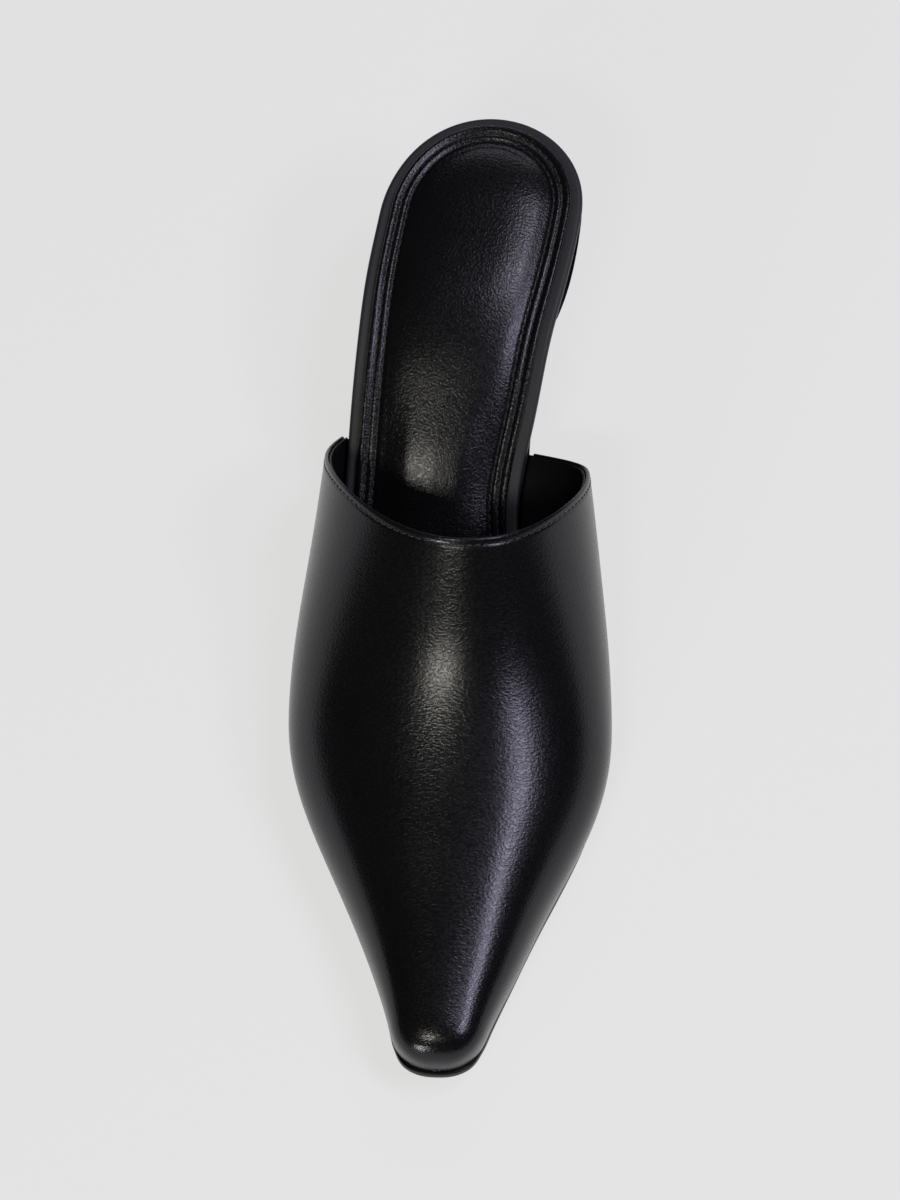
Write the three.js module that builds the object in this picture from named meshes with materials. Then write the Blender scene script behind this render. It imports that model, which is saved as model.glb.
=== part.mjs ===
// A heeled mule for the right foot, in millimetres, +Z up.
//
// The toe points along -Y and the heel along +Y. +X is the medial side, the side of the big toe.
// Every shape is worked out from the last, the form that a shoe is built on. A place on it is given by
// s, the distance forward from the back of the heel seat, by x, across, and by z, above the floor.
// The shoe stands on two flats on z = 0: the tread under the ball and the top piece under the heel.

import * as THREE from "three";

// Driving dimensions.
const LENGTH = 255; // heel seat to the tip of the outsole
const BALL_BREAK = 164; // s where the waist reaches the floor
const WAIST = { front: 100, back: 85, slope: 0.56 }; // the steepest part of the sole
const SEAT = { front: 35, slope: 0.16 }; // the heel seat
const TREAD_END = 195; // s where the toe spring starts
const TOE_SPRING = 7.5;
const WALL = 2; // upper leather and lining together
const GAP = 0.3; // between neighbouring pieces
const SOLE_FOREPART = 3.2;
const SOLE_WAIST = 2;
const SOLE_LEDGE = 0.8; // the sole's edge stands this far out from the upper
const INSOLE_EDGE = 3.2;
const INSOLE_CUP = 1.2; // how much lower the insole is along its middle
const SOCK_THICK = 2.2;
const SOCK_RIM = 3; // the insole's rim shows this wide round the sock
const TOP_PIECE = { back: 5, front: 45.5, halfWidth: 20.2, middle: 2.1, thick: 5.5 };
const BREAST = 54; // s of the heel's front face where it meets the sole

// The last, one row for each section. lateral and medial are the insole's edges; latWide and medWide the
// widest places of the wall, latRise and medRise their height over the insole's underside; ridge and
// crown the top of the section; and full is how far its shoulders fill out (0 is an ellipse).
const LAST = [
  { s: 0, lateral: -19.8, medial: 33.2 },
  { s: 15, lateral: -20.8, medial: 32.4 },
  { s: 30, lateral: -23.2, medial: 30.5 },
  { s: 45, lateral: -25.7, medial: 27.5 },
  { s: 60, lateral: -27.3, medial: 23.8 },
  { s: 80, lateral: -28.9, medial: 19.9, latWide: -31.0, medWide: 29.0, latRise: 12, medRise: 18, ridge: 2.0, crown: 108.9, full: -0.22 },
  { s: 95, lateral: -29.8, medial: 16.7, latWide: -33.0, medWide: 32.5, latRise: 12, medRise: 17, ridge: 2.5, crown: 97.4, full: -0.22 },
  { s: 110, lateral: -31.0, medial: 16.9, latWide: -35.2, medWide: 35.2, latRise: 12, medRise: 16, ridge: 3.0, crown: 85.7, full: -0.21 },
  { s: 125, lateral: -33.0, medial: 22.4, latWide: -37.6, medWide: 37.5, latRise: 12.5, medRise: 15, ridge: 3.0, crown: 74.1, full: -0.2 },
  { s: 140, lateral: -34.8, medial: 30.0, latWide: -39.6, medWide: 39.4, latRise: 13, medRise: 14, ridge: 2.8, crown: 62.6, full: -0.17 },
  { s: 155, lateral: -35.7, medial: 35.4, latWide: -40.5, medWide: 40.5, latRise: 12.5, medRise: 13.5, ridge: 2.4, crown: 51.5, full: -0.11 },
  { s: 170, lateral: -34.85, medial: 36.8, latWide: -39.55, medWide: 40.4, latRise: 12, medRise: 13, ridge: 2.0, crown: 43.5, full: -0.04 },
  { s: 185, lateral: -31.2, medial: 33.9, latWide: -35.2, medWide: 37.1, latRise: 10.5, medRise: 12, ridge: 1.5, crown: 37.6, full: 0.04 },
  { s: 200, lateral: -25.5, medial: 28.1, latWide: -28.4, medWide: 30.6, latRise: 9, medRise: 10, ridge: 0.8, crown: 32.9, full: 0.14 },
  { s: 215, lateral: -19.15, medial: 21.6, latWide: -21.35, medWide: 23.4, latRise: 7, medRise: 8, ridge: 0.2, crown: 28.7, full: 0.23 },
  { s: 230, lateral: -13.7, medial: 15.6, latWide: -15.2, medWide: 17, latRise: 5.5, medRise: 6, ridge: -0.3, crown: 25.1, full: 0.31 },
  { s: 245, lateral: -9.7, medial: 9.9, latWide: -10.4, medWide: 10.6, latRise: 4.5, medRise: 4.5, ridge: -0.5, crown: 22, full: 0.37 },
  { s: 256, lateral: -7.4, medial: 6.8, latWide: -8, medWide: 7.3, latRise: 4, medRise: 4, ridge: -0.6, crown: 19.8, full: 0.4 },
];

// The upper's top line. across goes round the section, from 0 at the sole's lateral edge over the crown,
// 0.5, which is the throat, to 1 at the medial edge.
const TOP_LINE = [
  { across: 0, s: 83.8 },
  { across: 0.1, s: 94.6 },
  { across: 0.2, s: 105 },
  { across: 0.3, s: 116.8 },
  { across: 0.4, s: 127.4 },
  { across: 0.5, s: 132 },
  { across: 0.6, s: 127.2 },
  { across: 0.7, s: 115.7 },
  { across: 0.8, s: 103.8 },
  { across: 0.9, s: 93.6 },
  { across: 1, s: 86.8 },
];

const SEAT_ROUND = 27; // length of the round back of the seat
const TOE_ROUND = 9; // length over which the square toe closes
const TOE_SQUARE = 2.5; // 2 closes it as an ellipse, more is squarer
const TOE_WALL = 3.4; // the same for the height of the toe's front wall
const LAST_TIP = LENGTH - SOLE_LEDGE - WALL - GAP;
const INSOLE_SHORT = 2; // the insole stops this far behind the last's tip

// How finely the shapes are cut into flats.
const STATIONS = 40; // along the sole
const ACROSS = 6; // across the cupped faces
const AROUND = 34; // round the upper's sections
const ALONG = 20; // along the upper, before the toe cap
const CAP = 7; // along the toe cap
const SECTION_SAMPLES = 48;

// The natural cubic spline through one column of a table.
function spline(table, key, column) {
  const rows = table.filter((row) => column in row);
  const s = rows.map((row) => row[key]);
  const y = rows.map((row) => row[column]);
  const bend = new Array(rows.length).fill(0);
  const scratch = new Array(rows.length).fill(0);
  for (let i = 1; i < rows.length - 1; i++) {
    const share = (s[i] - s[i - 1]) / (s[i + 1] - s[i - 1]);
    const pivot = share * bend[i - 1] + 2;
    const turn = (y[i + 1] - y[i]) / (s[i + 1] - s[i]) - (y[i] - y[i - 1]) / (s[i] - s[i - 1]);
    bend[i] = (share - 1) / pivot;
    scratch[i] = ((6 * turn) / (s[i + 1] - s[i - 1]) - share * scratch[i - 1]) / pivot;
  }
  for (let i = rows.length - 2; i >= 0; i--) {
    bend[i] = bend[i] * bend[i + 1] + scratch[i];
  }
  return (at) => {
    let i = 0;
    while (i < rows.length - 2 && at > s[i + 1]) i++;
    const step = s[i + 1] - s[i];
    const a = (s[i + 1] - at) / step;
    const b = (at - s[i]) / step;
    const curve = (a ** 3 - a) * bend[i] + (b ** 3 - b) * bend[i + 1];
    return a * y[i] + b * y[i + 1] + (curve * step * step) / 6;
  };
}

const last = Object.fromEntries(
  Object.keys(LAST.at(-1))
    .filter((column) => column !== "s")
    .map((column) => [column, spline(LAST, "s", column)]),
);
const topLine = spline(TOP_LINE, "across", "s");

const smoothStep = (from, to, at) => THREE.MathUtils.smoothstep(at, from, to);

// A point of the last as x, y, z.
const place = (x, s, z) => new THREE.Vector3(x, LENGTH / 2 - s, z);

// What a slope gains over `run` when it eases in over the first `easing` of it.
function eased(run, easing) {
  const t = Math.min(Math.max(run / easing, 0), 1);
  return easing * (t ** 3 - t ** 4 / 2) + Math.max(run - easing, 0);
}

// Underside of the outsole: heel seat, waist, flat tread and toe spring.
function soleUnder(s) {
  const spring = Math.max(0, s - TREAD_END) / (LENGTH - TREAD_END);
  const waist = WAIST.slope * eased(BALL_BREAK - s, BALL_BREAK - WAIST.front);
  const seat = (WAIST.slope - SEAT.slope) * eased(WAIST.back - s, WAIST.back - SEAT.front);
  return TOE_SPRING * spring ** 2 + waist - seat;
}

const soleThick = (s) => SOLE_WAIST + (SOLE_FOREPART - SOLE_WAIST) * smoothStep(95, 150, s);
const soleTop = (s) => soleUnder(s) + soleThick(s);
const feather = (s) => soleTop(s) + GAP; // the underside of the insole and of the upper

// 0 at the very end of a rounded outline and 1 from its full width on.
const closing = (share, square) => (1 - (1 - Math.min(Math.max(share, 0), 1)) ** square) ** (1 / square);

function endClosing(s, grow, tip) {
  const back = closing((s + grow) / (SEAT_ROUND + grow), 2);
  const front = closing((tip + grow - s) / (TOE_ROUND + grow / 2), TOE_SQUARE);
  return back * front;
}

// x of an outline that stands `grow` outside the insole's, on side -1 (lateral) or 1 (medial).
function outline(side, s, grow, tip) {
  const centre = (last.lateral(s) + last.medial(s)) / 2;
  const half = (last.medial(s) - last.lateral(s)) / 2 + grow;
  return centre + side * half * endClosing(s, grow, tip);
}

// Stations from `from` to `to`, closer together at both ends.
function stations(from, to, count = STATIONS) {
  const crowd = (t) => t - (0.93 * Math.sin(2 * Math.PI * t)) / (2 * Math.PI);
  return Array.from({ length: count + 1 }, (_, i) => from + (to - from) * crowd(i / count));
}

// A closed ring of points: back pole, lateral side, front pole, medial side.
function outlineRing(growAt, tip, height) {
  const growBack = growAt(0);
  const growTip = growAt(LENGTH);
  const all = stations(-growBack, tip + growTip);
  const point = (side, s) => {
    const x = outline(side, s, growAt(s), tip);
    return place(x, s, height(x, s));
  };
  const lateral = all.map((s) => point(-1, s));
  const medial = all.slice(1, -1).map((s) => point(1, s));
  return [...lateral, ...medial.reverse()];
}

// A closed geometry from rings stacked from the underside to the top, both ends filled across.
function stack(rings, across, underside, topside) {
  const around = rings[0].length;
  const half = around / 2;
  const points = rings.flat();
  const faces = [];
  const quad = (a, b, c, d) => faces.push([a, b, c], [a, c, d]);
  for (let r = 0; r + 1 < rings.length; r++) {
    for (let i = 0; i < around; i++) {
      const next = (i + 1) % around;
      quad(r * around + i, r * around + next, (r + 1) * around + next, (r + 1) * around + i);
    }
  }
  const fill = (first, heightAt, up) => {
    const rung = (i) => {
      const a = first + i;
      const b = first + ((around - i) % around);
      if (a === b) return new Array(across + 1).fill(a);
      const between = [];
      for (let k = 1; k < across; k++) {
        const p = points[a].clone().lerp(points[b], k / across);
        if (heightAt) p.z = heightAt(p.x, LENGTH / 2 - p.y);
        between.push(points.push(p) - 1);
      }
      return [a, ...between, b];
    };
    let before = rung(0);
    for (let i = 1; i <= half; i++) {
      const now = rung(i);
      for (let k = 0; k < across; k++) {
        if (up) quad(before[k], now[k], now[k + 1], before[k + 1]);
        else quad(before[k], before[k + 1], now[k + 1], now[k]);
      }
      before = now;
    }
  };
  fill(0, underside, false);
  fill((rings.length - 1) * around, topside, true);
  return solid(points, faces);
}

// An indexed geometry, without the triangles that a pole has collapsed.
function solid(points, faces) {
  const kept = faces.filter(([a, b, c]) => a !== b && b !== c && a !== c);
  const geometry = new THREE.BufferGeometry().setFromPoints(points);
  geometry.setIndex(kept.flat());
  geometry.computeVertexNormals();
  return geometry;
}

// ---- The sole -------------------------------------------------------------------------------------

// How far the outsole stands out from the insole's edge: tucked in under the seat, under the wall of the
// upper from the waist on, and out to its ledge round the forepart, which all but goes beside the toe.
function soleGrow(s) {
  const ledge = smoothStep(110, 150, s) - 0.8 * smoothStep(185, 225, s) * (1 - smoothStep(247, 253, s));
  return -0.5 + (GAP + WALL + 0.5) * smoothStep(79, 98, s) + SOLE_LEDGE * ledge;
}

function makeOutsole() {
  const ring = (inset, height) => outlineRing((s) => soleGrow(s) - inset, LAST_TIP, (x, s) => height(s));
  return stack(
    [
      ring(0.9, soleUnder),
      ring(0, (s) => soleUnder(s) + 0.7),
      ring(0, (s) => soleTop(s) - 0.2),
      ring(0.2, soleTop),
    ],
    1,
  );
}

// The insole's upper face is cupped: low along the middle, and a little higher at the edges.
function insoleTop(x, s) {
  const middle = (last.lateral(s) + last.medial(s)) / 2;
  const half = (last.medial(s) - last.lateral(s)) / 2;
  const across = Math.min(Math.abs(x - middle) / half, 1);
  return feather(s) + INSOLE_EDGE - INSOLE_CUP * (1 - across ** 2);
}

function makeInsole() {
  const tip = LAST_TIP - INSOLE_SHORT;
  const ring = (inset, height) => outlineRing(() => -inset, tip, height);
  return stack(
    [
      ring(0.8, (x, s) => feather(s)),
      ring(0, (x, s) => feather(s) + 0.8),
      ring(0, (x, s) => insoleTop(x, s) - 1.2),
      ring(0.4, (x, s) => insoleTop(x, s) - 0.4),
      ring(1.4, insoleTop),
    ],
    ACROSS,
    (x, s) => feather(s),
    insoleTop,
  );
}

const sockUnder = (x, s) => insoleTop(x, s) + GAP;
const sockTop = (x, s) => sockUnder(x, s) + SOCK_THICK;

function makeSock() {
  const tip = LAST_TIP - INSOLE_SHORT;
  const ring = (inset, height) => outlineRing(() => -SOCK_RIM - inset, tip, height);
  return stack(
    [
      ring(0, sockUnder),
      ring(0, (x, s) => sockUnder(x, s) + 0.9),
      ring(0.5, (x, s) => sockTop(x, s) - 0.5),
      ring(1.6, sockTop),
    ],
    ACROSS,
    sockUnder,
    sockTop,
  );
}

// ---- The heel -------------------------------------------------------------------------------------

// A D-shaped ring: round at the back, flat across the breast. `edge(side, share)` gives a point of the
// side wall, and `share` runs from 0 at the back to 1 at the breast.
function heelRing(edge) {
  const wall = 16;
  const breast = 4;
  const halfRing = (side) => {
    const points = [];
    for (let i = 0; i <= wall; i++) {
      points.push(edge(side, 1 - Math.cos((Math.PI / 2) * (i / wall))));
    }
    const corner = points.at(-1);
    const middle = edge(1, 1).lerp(edge(-1, 1), 0.5);
    for (let i = 1; i <= breast; i++) points.push(corner.clone().lerp(middle, i / breast));
    return points;
  };
  const lateral = halfRing(-1);
  const medial = halfRing(1).slice(1, -1);
  return [...lateral, ...medial.reverse()];
}

// The top of the heel follows the seat, just inside the outsole.
function heelTopEdge(side, share) {
  const inset = 0.9;
  const s = inset + (BREAST - inset) * share;
  const proud = -inset + (side > 0 ? 4.6 * share ** 2 - 3.5 * share ** 4 - 0.6 * share ** 12 : 1.3 * share ** 2);
  return place(outline(side, s, proud, LAST_TIP), s, soleUnder(s) - GAP);
}

// The foot of the heel, as the top piece.
function heelFootEdge(side, share, inset, z) {
  const back = TOP_PIECE.back + inset;
  const front = TOP_PIECE.front - inset;
  const s = back + (front - back) * share;
  const { middle } = TOP_PIECE;
  const halfWidth = TOP_PIECE.halfWidth - inset;
  return place(middle + side * halfWidth * closing((s - back) / (halfWidth * 0.95), 2.1), s, z);
}

function makeHeelBlock() {
  const levels = 10;
  const foot = (side, share) => heelFootEdge(side, share, 0.3, TOP_PIECE.thick + GAP);
  const rings = Array.from({ length: levels + 1 }, (_, i) => {
    const up = i / levels;
    const flare = 0.55 * up + 0.45 * up ** 3; // hollow behind, and wider towards the seat
    return heelRing((side, share) => {
      const low = foot(side, share);
      const high = heelTopEdge(side, share);
      const p = low.clone().lerp(high, flare);
      p.z = low.z + (high.z - low.z) * up;
      return p;
    });
  });
  return stack(rings, 2, null, (x, s) => soleUnder(s) - GAP);
}

function makeTopPiece() {
  const ring = (inset, z) => heelRing((side, share) => heelFootEdge(side, share, inset, z));
  return stack([ring(0.5, 0), ring(0, 0.6), ring(0, TOP_PIECE.thick)], 1);
}

// ---- The upper ------------------------------------------------------------------------------------

// Half of a section, from the feather edge to the crown, `grow` outside the last.
function halfSection(side, s, grow) {
  const name = side < 0 ? ["lateral", "latWide", "latRise"] : ["medial", "medWide", "medRise"];
  const [edge, wide, rise] = name.map((column) => last[column](s));
  const tip = LAST_TIP + GAP;
  const narrow = closing((tip + grow - s) / (TOE_ROUND + grow / 2), TOE_SQUARE);
  const low = closing((tip + grow - s) / (TOE_ROUND + grow / 2), TOE_WALL);
  const ridge = last.ridge(s);
  const centre = (last.lateral(s) + last.medial(s)) / 2;
  const squeeze = (x) => centre + (x - centre) * narrow;
  const floor = feather(s);
  const foot = edge + side * (GAP + grow);
  const belly = wide + side * grow;
  const bellyHeight = rise * low;
  const top = floor + (last.crown(s) + grow - floor) * low;
  const points = [];
  const lower = SECTION_SAMPLES / 4;
  for (let i = 0; i < lower; i++) {
    const t = i / lower;
    const x = foot + (belly - foot) * (1 - (1 - t) ** 2);
    points.push(new THREE.Vector2(squeeze(x), floor + bellyHeight * t));
  }
  const upper = SECTION_SAMPLES - lower;
  for (let i = 0; i <= upper; i++) {
    const angle = (Math.PI / 2) * (i / upper);
    const shoulder = Math.cos(angle) * (1 + last.full(s) * Math.sin(angle) ** 2);
    const x = ridge + (belly - ridge) * shoulder;
    const z = floor + bellyHeight + (top - floor - bellyHeight) * Math.sin(angle);
    points.push(new THREE.Vector2(squeeze(x), z));
  }
  return points;
}

// The point at `share` of a polyline's length.
function along(points, share) {
  const steps = points.slice(1).map((p, i) => p.distanceTo(points[i]));
  const total = steps.reduce((sum, step) => sum + step, 0);
  let left = share * total;
  for (let i = 0; i < steps.length; i++) {
    if (left <= steps[i] || i === steps.length - 1) {
      return points[i].clone().lerp(points[i + 1], steps[i] > 0 ? left / steps[i] : 0);
    }
    left -= steps[i];
  }
  return points.at(-1).clone();
}

// The last's surface: `v` runs from 0 at the lateral feather edge over the crown to 1 at the medial one.
function lastPoint(s, v, grow) {
  const side = v < 0.5 ? -1 : 1;
  const share = 1 - Math.abs(2 * v - 1);
  const p = along(halfSection(side, s, grow), share);
  return place(p.x, s, p.y);
}

// A grid of points over the last, from the top line to the tip.
function upperGrid(topLines, grow) {
  const tip = LAST_TIP + GAP + grow;
  const capStart = tip - TOE_ROUND - grow / 2;
  const rows = [];
  for (let u = 0; u <= ALONG + CAP; u++) {
    rows.push(
      topLines.map((start, j) => {
        const v = j / AROUND;
        const ahead = Math.max(u - ALONG, 0) / CAP;
        const onVamp = start + (capStart - start) * (Math.min(u, ALONG) / ALONG);
        const inCap = (tip - capStart) * Math.sin((Math.PI / 2) * ahead) ** 1.3;
        return lastPoint(onVamp + inCap, v, grow);
      }),
    );
  }
  return rows;
}

function makeUpper() {
  const topLines = Array.from({ length: AROUND + 1 }, (_, j) => topLine(j / AROUND));
  const points = [];
  const faces = [];
  const number = (rows) =>
    rows.map((row, u) => {
      if (u === rows.length - 1) return new Array(row.length).fill(points.push(row[0]) - 1);
      return row.map((p) => points.push(p) - 1);
    });
  const outer = number(upperGrid(topLines, WALL));
  const inner = number(upperGrid(topLines, 0));
  const quad = (a, b, c, d) => faces.push([a, b, c], [a, c, d]);
  const rowsEnd = outer.length - 1;
  for (let u = 0; u < rowsEnd; u++) {
    for (let j = 0; j < AROUND; j++) {
      quad(outer[u][j], outer[u + 1][j], outer[u + 1][j + 1], outer[u][j + 1]);
      quad(inner[u][j], inner[u][j + 1], inner[u + 1][j + 1], inner[u + 1][j]);
    }
    quad(outer[u][0], inner[u][0], inner[u + 1][0], outer[u + 1][0]);
    quad(outer[u][AROUND], outer[u + 1][AROUND], inner[u + 1][AROUND], inner[u][AROUND]);
  }
  for (let j = 0; j < AROUND; j++) {
    quad(outer[0][j], outer[0][j + 1], inner[0][j + 1], inner[0][j]);
  }
  return solid(points, faces);
}

// ---- The shoe -------------------------------------------------------------------------------------

const finish = (color, roughness) => new THREE.MeshStandardMaterial({ color, roughness, metalness: 0 });
const calf = finish(0x0b0b0d, 0.38);
const kid = finish(0x0e0e10, 0.45);
const soleLeather = finish(0x09090a, 0.3);
const rubber = finish(0x101011, 0.7);

function piece(name, geometry, material) {
  const mesh = new THREE.Mesh(geometry, material);
  mesh.name = name;
  return mesh;
}

const mule = new THREE.Group();
mule.add(
  piece("outsole", makeOutsole(), soleLeather),
  piece("insole", makeInsole(), kid),
  piece("sock", makeSock(), kid),
  piece("upper", makeUpper(), calf),
  piece("heel_block", makeHeelBlock(), calf),
  piece("heel_top_piece", makeTopPiece(), rubber),
);

export default mule;
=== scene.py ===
"""The looks of a heeled black leather mule for the right foot.

The toe points along -Y and +X is the medial side, the side of the big toe. Sizes in this file are in
millimetres, as on a shoemaker's bench, and become metres when a mesh is made. A place on the shoe is
given by s, the distance forward from the back of the heel seat, by x, across, and by z, up.
"""

import logging
import math
from collections.abc import Callable, Sequence
from dataclasses import dataclass, field
from enum import Enum

import bpy
import numpy as np
from mathutils import Matrix, Vector


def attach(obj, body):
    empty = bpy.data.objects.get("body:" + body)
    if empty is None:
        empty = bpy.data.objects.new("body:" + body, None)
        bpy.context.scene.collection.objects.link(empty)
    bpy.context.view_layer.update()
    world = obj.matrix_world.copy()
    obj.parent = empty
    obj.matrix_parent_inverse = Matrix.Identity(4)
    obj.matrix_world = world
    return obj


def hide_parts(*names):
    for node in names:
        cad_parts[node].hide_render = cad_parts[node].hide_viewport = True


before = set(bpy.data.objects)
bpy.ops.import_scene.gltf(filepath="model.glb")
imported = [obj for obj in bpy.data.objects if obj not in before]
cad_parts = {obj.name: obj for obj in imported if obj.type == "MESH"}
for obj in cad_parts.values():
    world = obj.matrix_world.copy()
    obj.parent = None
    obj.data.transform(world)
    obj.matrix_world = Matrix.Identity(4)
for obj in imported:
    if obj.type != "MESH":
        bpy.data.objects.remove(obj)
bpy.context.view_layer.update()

MM = 0.001
LOG = logging.getLogger("mule")

Number = float | np.ndarray
Triple = tuple[float, float, float]
Colour = Triple
EdgeTable = tuple[tuple[float, float, bool], ...]
Height = Callable[[Number, Number], Number]


class Side(Enum):
    """The two sides of the foot, with their sign along X."""

    LATERAL = -1
    MEDIAL = 1


# ---- Shader building ------------------------------------------------------------------------------


class Value:
    """A shader socket that can be used in Python expressions."""

    def __init__(self, shader: "Shader", socket: bpy.types.NodeSocket) -> None:
        """Keeps the socket and the shader that it belongs to.

        Args:
            shader: the shader whose tree holds the socket.
            socket: an output socket of one of its nodes.
        """
        self.shader = shader
        self.socket = socket

    def math(self, operation: str, first: "Value | float", second: "Value | float") -> "Value":
        """Adds a Math node.

        Args:
            operation: the node's operation.
            first: its first input.
            second: its second input.

        Returns:
            The node's result.
        """
        return self.shader.node("ShaderNodeMath", {"operation": operation}, {0: first, 1: second})

    def __add__(self, other: "Value | float") -> "Value":
        """The sum."""
        return self.math("ADD", self, other)

    def __radd__(self, other: float) -> "Value":
        """The sum, with the number first."""
        return self.math("ADD", other, self)

    def __sub__(self, other: "Value | float") -> "Value":
        """The difference."""
        return self.math("SUBTRACT", self, other)

    def __rsub__(self, other: float) -> "Value":
        """The difference, with the number first."""
        return self.math("SUBTRACT", other, self)

    def __mul__(self, other: "Value | float") -> "Value":
        """The product."""
        return self.math("MULTIPLY", self, other)

    def __rmul__(self, other: float) -> "Value":
        """The product, with the number first."""
        return self.math("MULTIPLY", other, self)

    def between(self, low: float, high: float) -> "Value":
        """Eases from 0 to 1 as the value goes from `low` to `high`.

        Args:
            low: the value that gives 0.
            high: the value that gives 1.

        Returns:
            The eased share.
        """
        settings = {"interpolation_type": "SMOOTHSTEP"}
        inputs = {"Value": self, "From Min": low, "From Max": high, "To Min": 0.0, "To Max": 1.0}
        return self.shader.node("ShaderNodeMapRange", settings, inputs)


class Shader:
    """A node tree under construction."""

    def __init__(self, tree: bpy.types.NodeTree) -> None:
        """Empties the tree.

        Args:
            tree: the node tree of a material or of the world.
        """
        self.tree = tree
        tree.nodes.clear()

    def node(
        self,
        kind: str,
        settings: dict[str, object] | None = None,
        inputs: dict[int | str, object] | None = None,
        output: int | str = 0,
    ) -> Value:
        """Adds a node: its settings first, then its sockets.

        Args:
            kind: the node's type.
            settings: its properties; `stops` are a ramp's places and colours.
            inputs: a value or a link for each named or numbered socket.
            output: the output socket wanted.

        Returns:
            That output.
        """
        made = self.tree.nodes.new(kind)
        for name, setting in (settings or {}).items():
            if name == "stops":
                self._stops(made.color_ramp, setting)
            else:
                setattr(made, name, setting)
        for name, given in (inputs or {}).items():
            if isinstance(given, Value):
                self.tree.links.new(given.socket, made.inputs[name])
            else:
                made.inputs[name].default_value = given
        return Value(self, made.outputs[output] if len(made.outputs) else None)

    @staticmethod
    def _stops(ramp: bpy.types.ColorRamp, stops: Sequence[tuple[float, Colour]]) -> None:
        """Gives a colour ramp its stops.

        Args:
            ramp: the ramp of a new node, which has two stops.
            stops: (place, colour) for each stop, in order.
        """
        while len(ramp.elements) < len(stops):
            ramp.elements.new(1.0)
        for element, (place, colour) in zip(ramp.elements, stops):
            element.position = place
            element.color = (*colour, 1.0)

    def place(self, size: Triple) -> Value:
        """Coordinates that count cells of a given size.

        Args:
            size: the cell's length along X, Y and Z.

        Returns:
            The place on the object, in cells.
        """
        at = self.node("ShaderNodeTexCoord", output="Object")
        scale = tuple(1 / (length * MM) for length in size)
        return self.node("ShaderNodeVectorMath", {"operation": "MULTIPLY"}, {0: at, 1: scale})

    def noise(self, size: Number, detail: float = 2.0, at: Value | None = None) -> Value:
        """Noise with features of a given size.

        Args:
            size: the features' length.
            detail: how many finer octaves it has.
            at: coordinates to use in place of the object's.

        Returns:
            A value about 0.5.
        """
        where = at or self.place((size, size, size))
        inputs = {"Vector": where, "Scale": 1.0, "Detail": detail, "Roughness": 0.55}
        return self.node("ShaderNodeTexNoise", {}, inputs, "Fac")

    def bump(self, height: Value, depth: float, strength: float = 1.0) -> Value:
        """Normals that follow a height.

        Args:
            height: the height, from 0 to 1.
            depth: the millimetres that 1 stands for.
            strength: how much of it shows.

        Returns:
            The normals.
        """
        inputs = {"Height": height, "Strength": strength, "Distance": depth * MM}
        return self.node("ShaderNodeBump", {}, inputs)

    def principled(self, inputs: dict[str, object]) -> None:
        """Makes a material's surface and its output.

        Args:
            inputs: what goes in each socket of the Principled node.
        """
        surface = self.node("ShaderNodeBsdfPrincipled", {}, inputs)
        self.node("ShaderNodeOutputMaterial", {}, {"Surface": surface})

    def mix(self, share: Value | float, first: Value | Colour, second: Value | Colour) -> Value:
        """A colour between two colours.

        Args:
            share: 0 gives the first and 1 the second.
            first: a colour.
            second: a colour.

        Returns:
            The mixed colour.
        """
        colours = [c if isinstance(c, Value) else (*c, 1.0) for c in (first, second)]
        inputs = {0: share, 6: colours[0], 7: colours[1]}
        return self.node("ShaderNodeMix", {"data_type": "RGBA"}, inputs, 2)


class Finish:
    """A finish of the shoe or of the studio. Each kind fills in its own nodes."""

    name: str

    def fill(self, shader: Shader) -> None:
        """Makes the finish's nodes; each kind has its own.

        Args:
            shader: the shader of the new material.
        """
        raise NotImplementedError

    def material(self) -> bpy.types.Material:
        """Makes the material, or finds it if it has been made.

        Returns:
            The material.
        """
        made = bpy.data.materials.get(self.name)
        if made is None:
            made = bpy.data.materials.new(self.name)
            made.use_nodes = True
            self.fill(Shader(made.node_tree))
        return made


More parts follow.
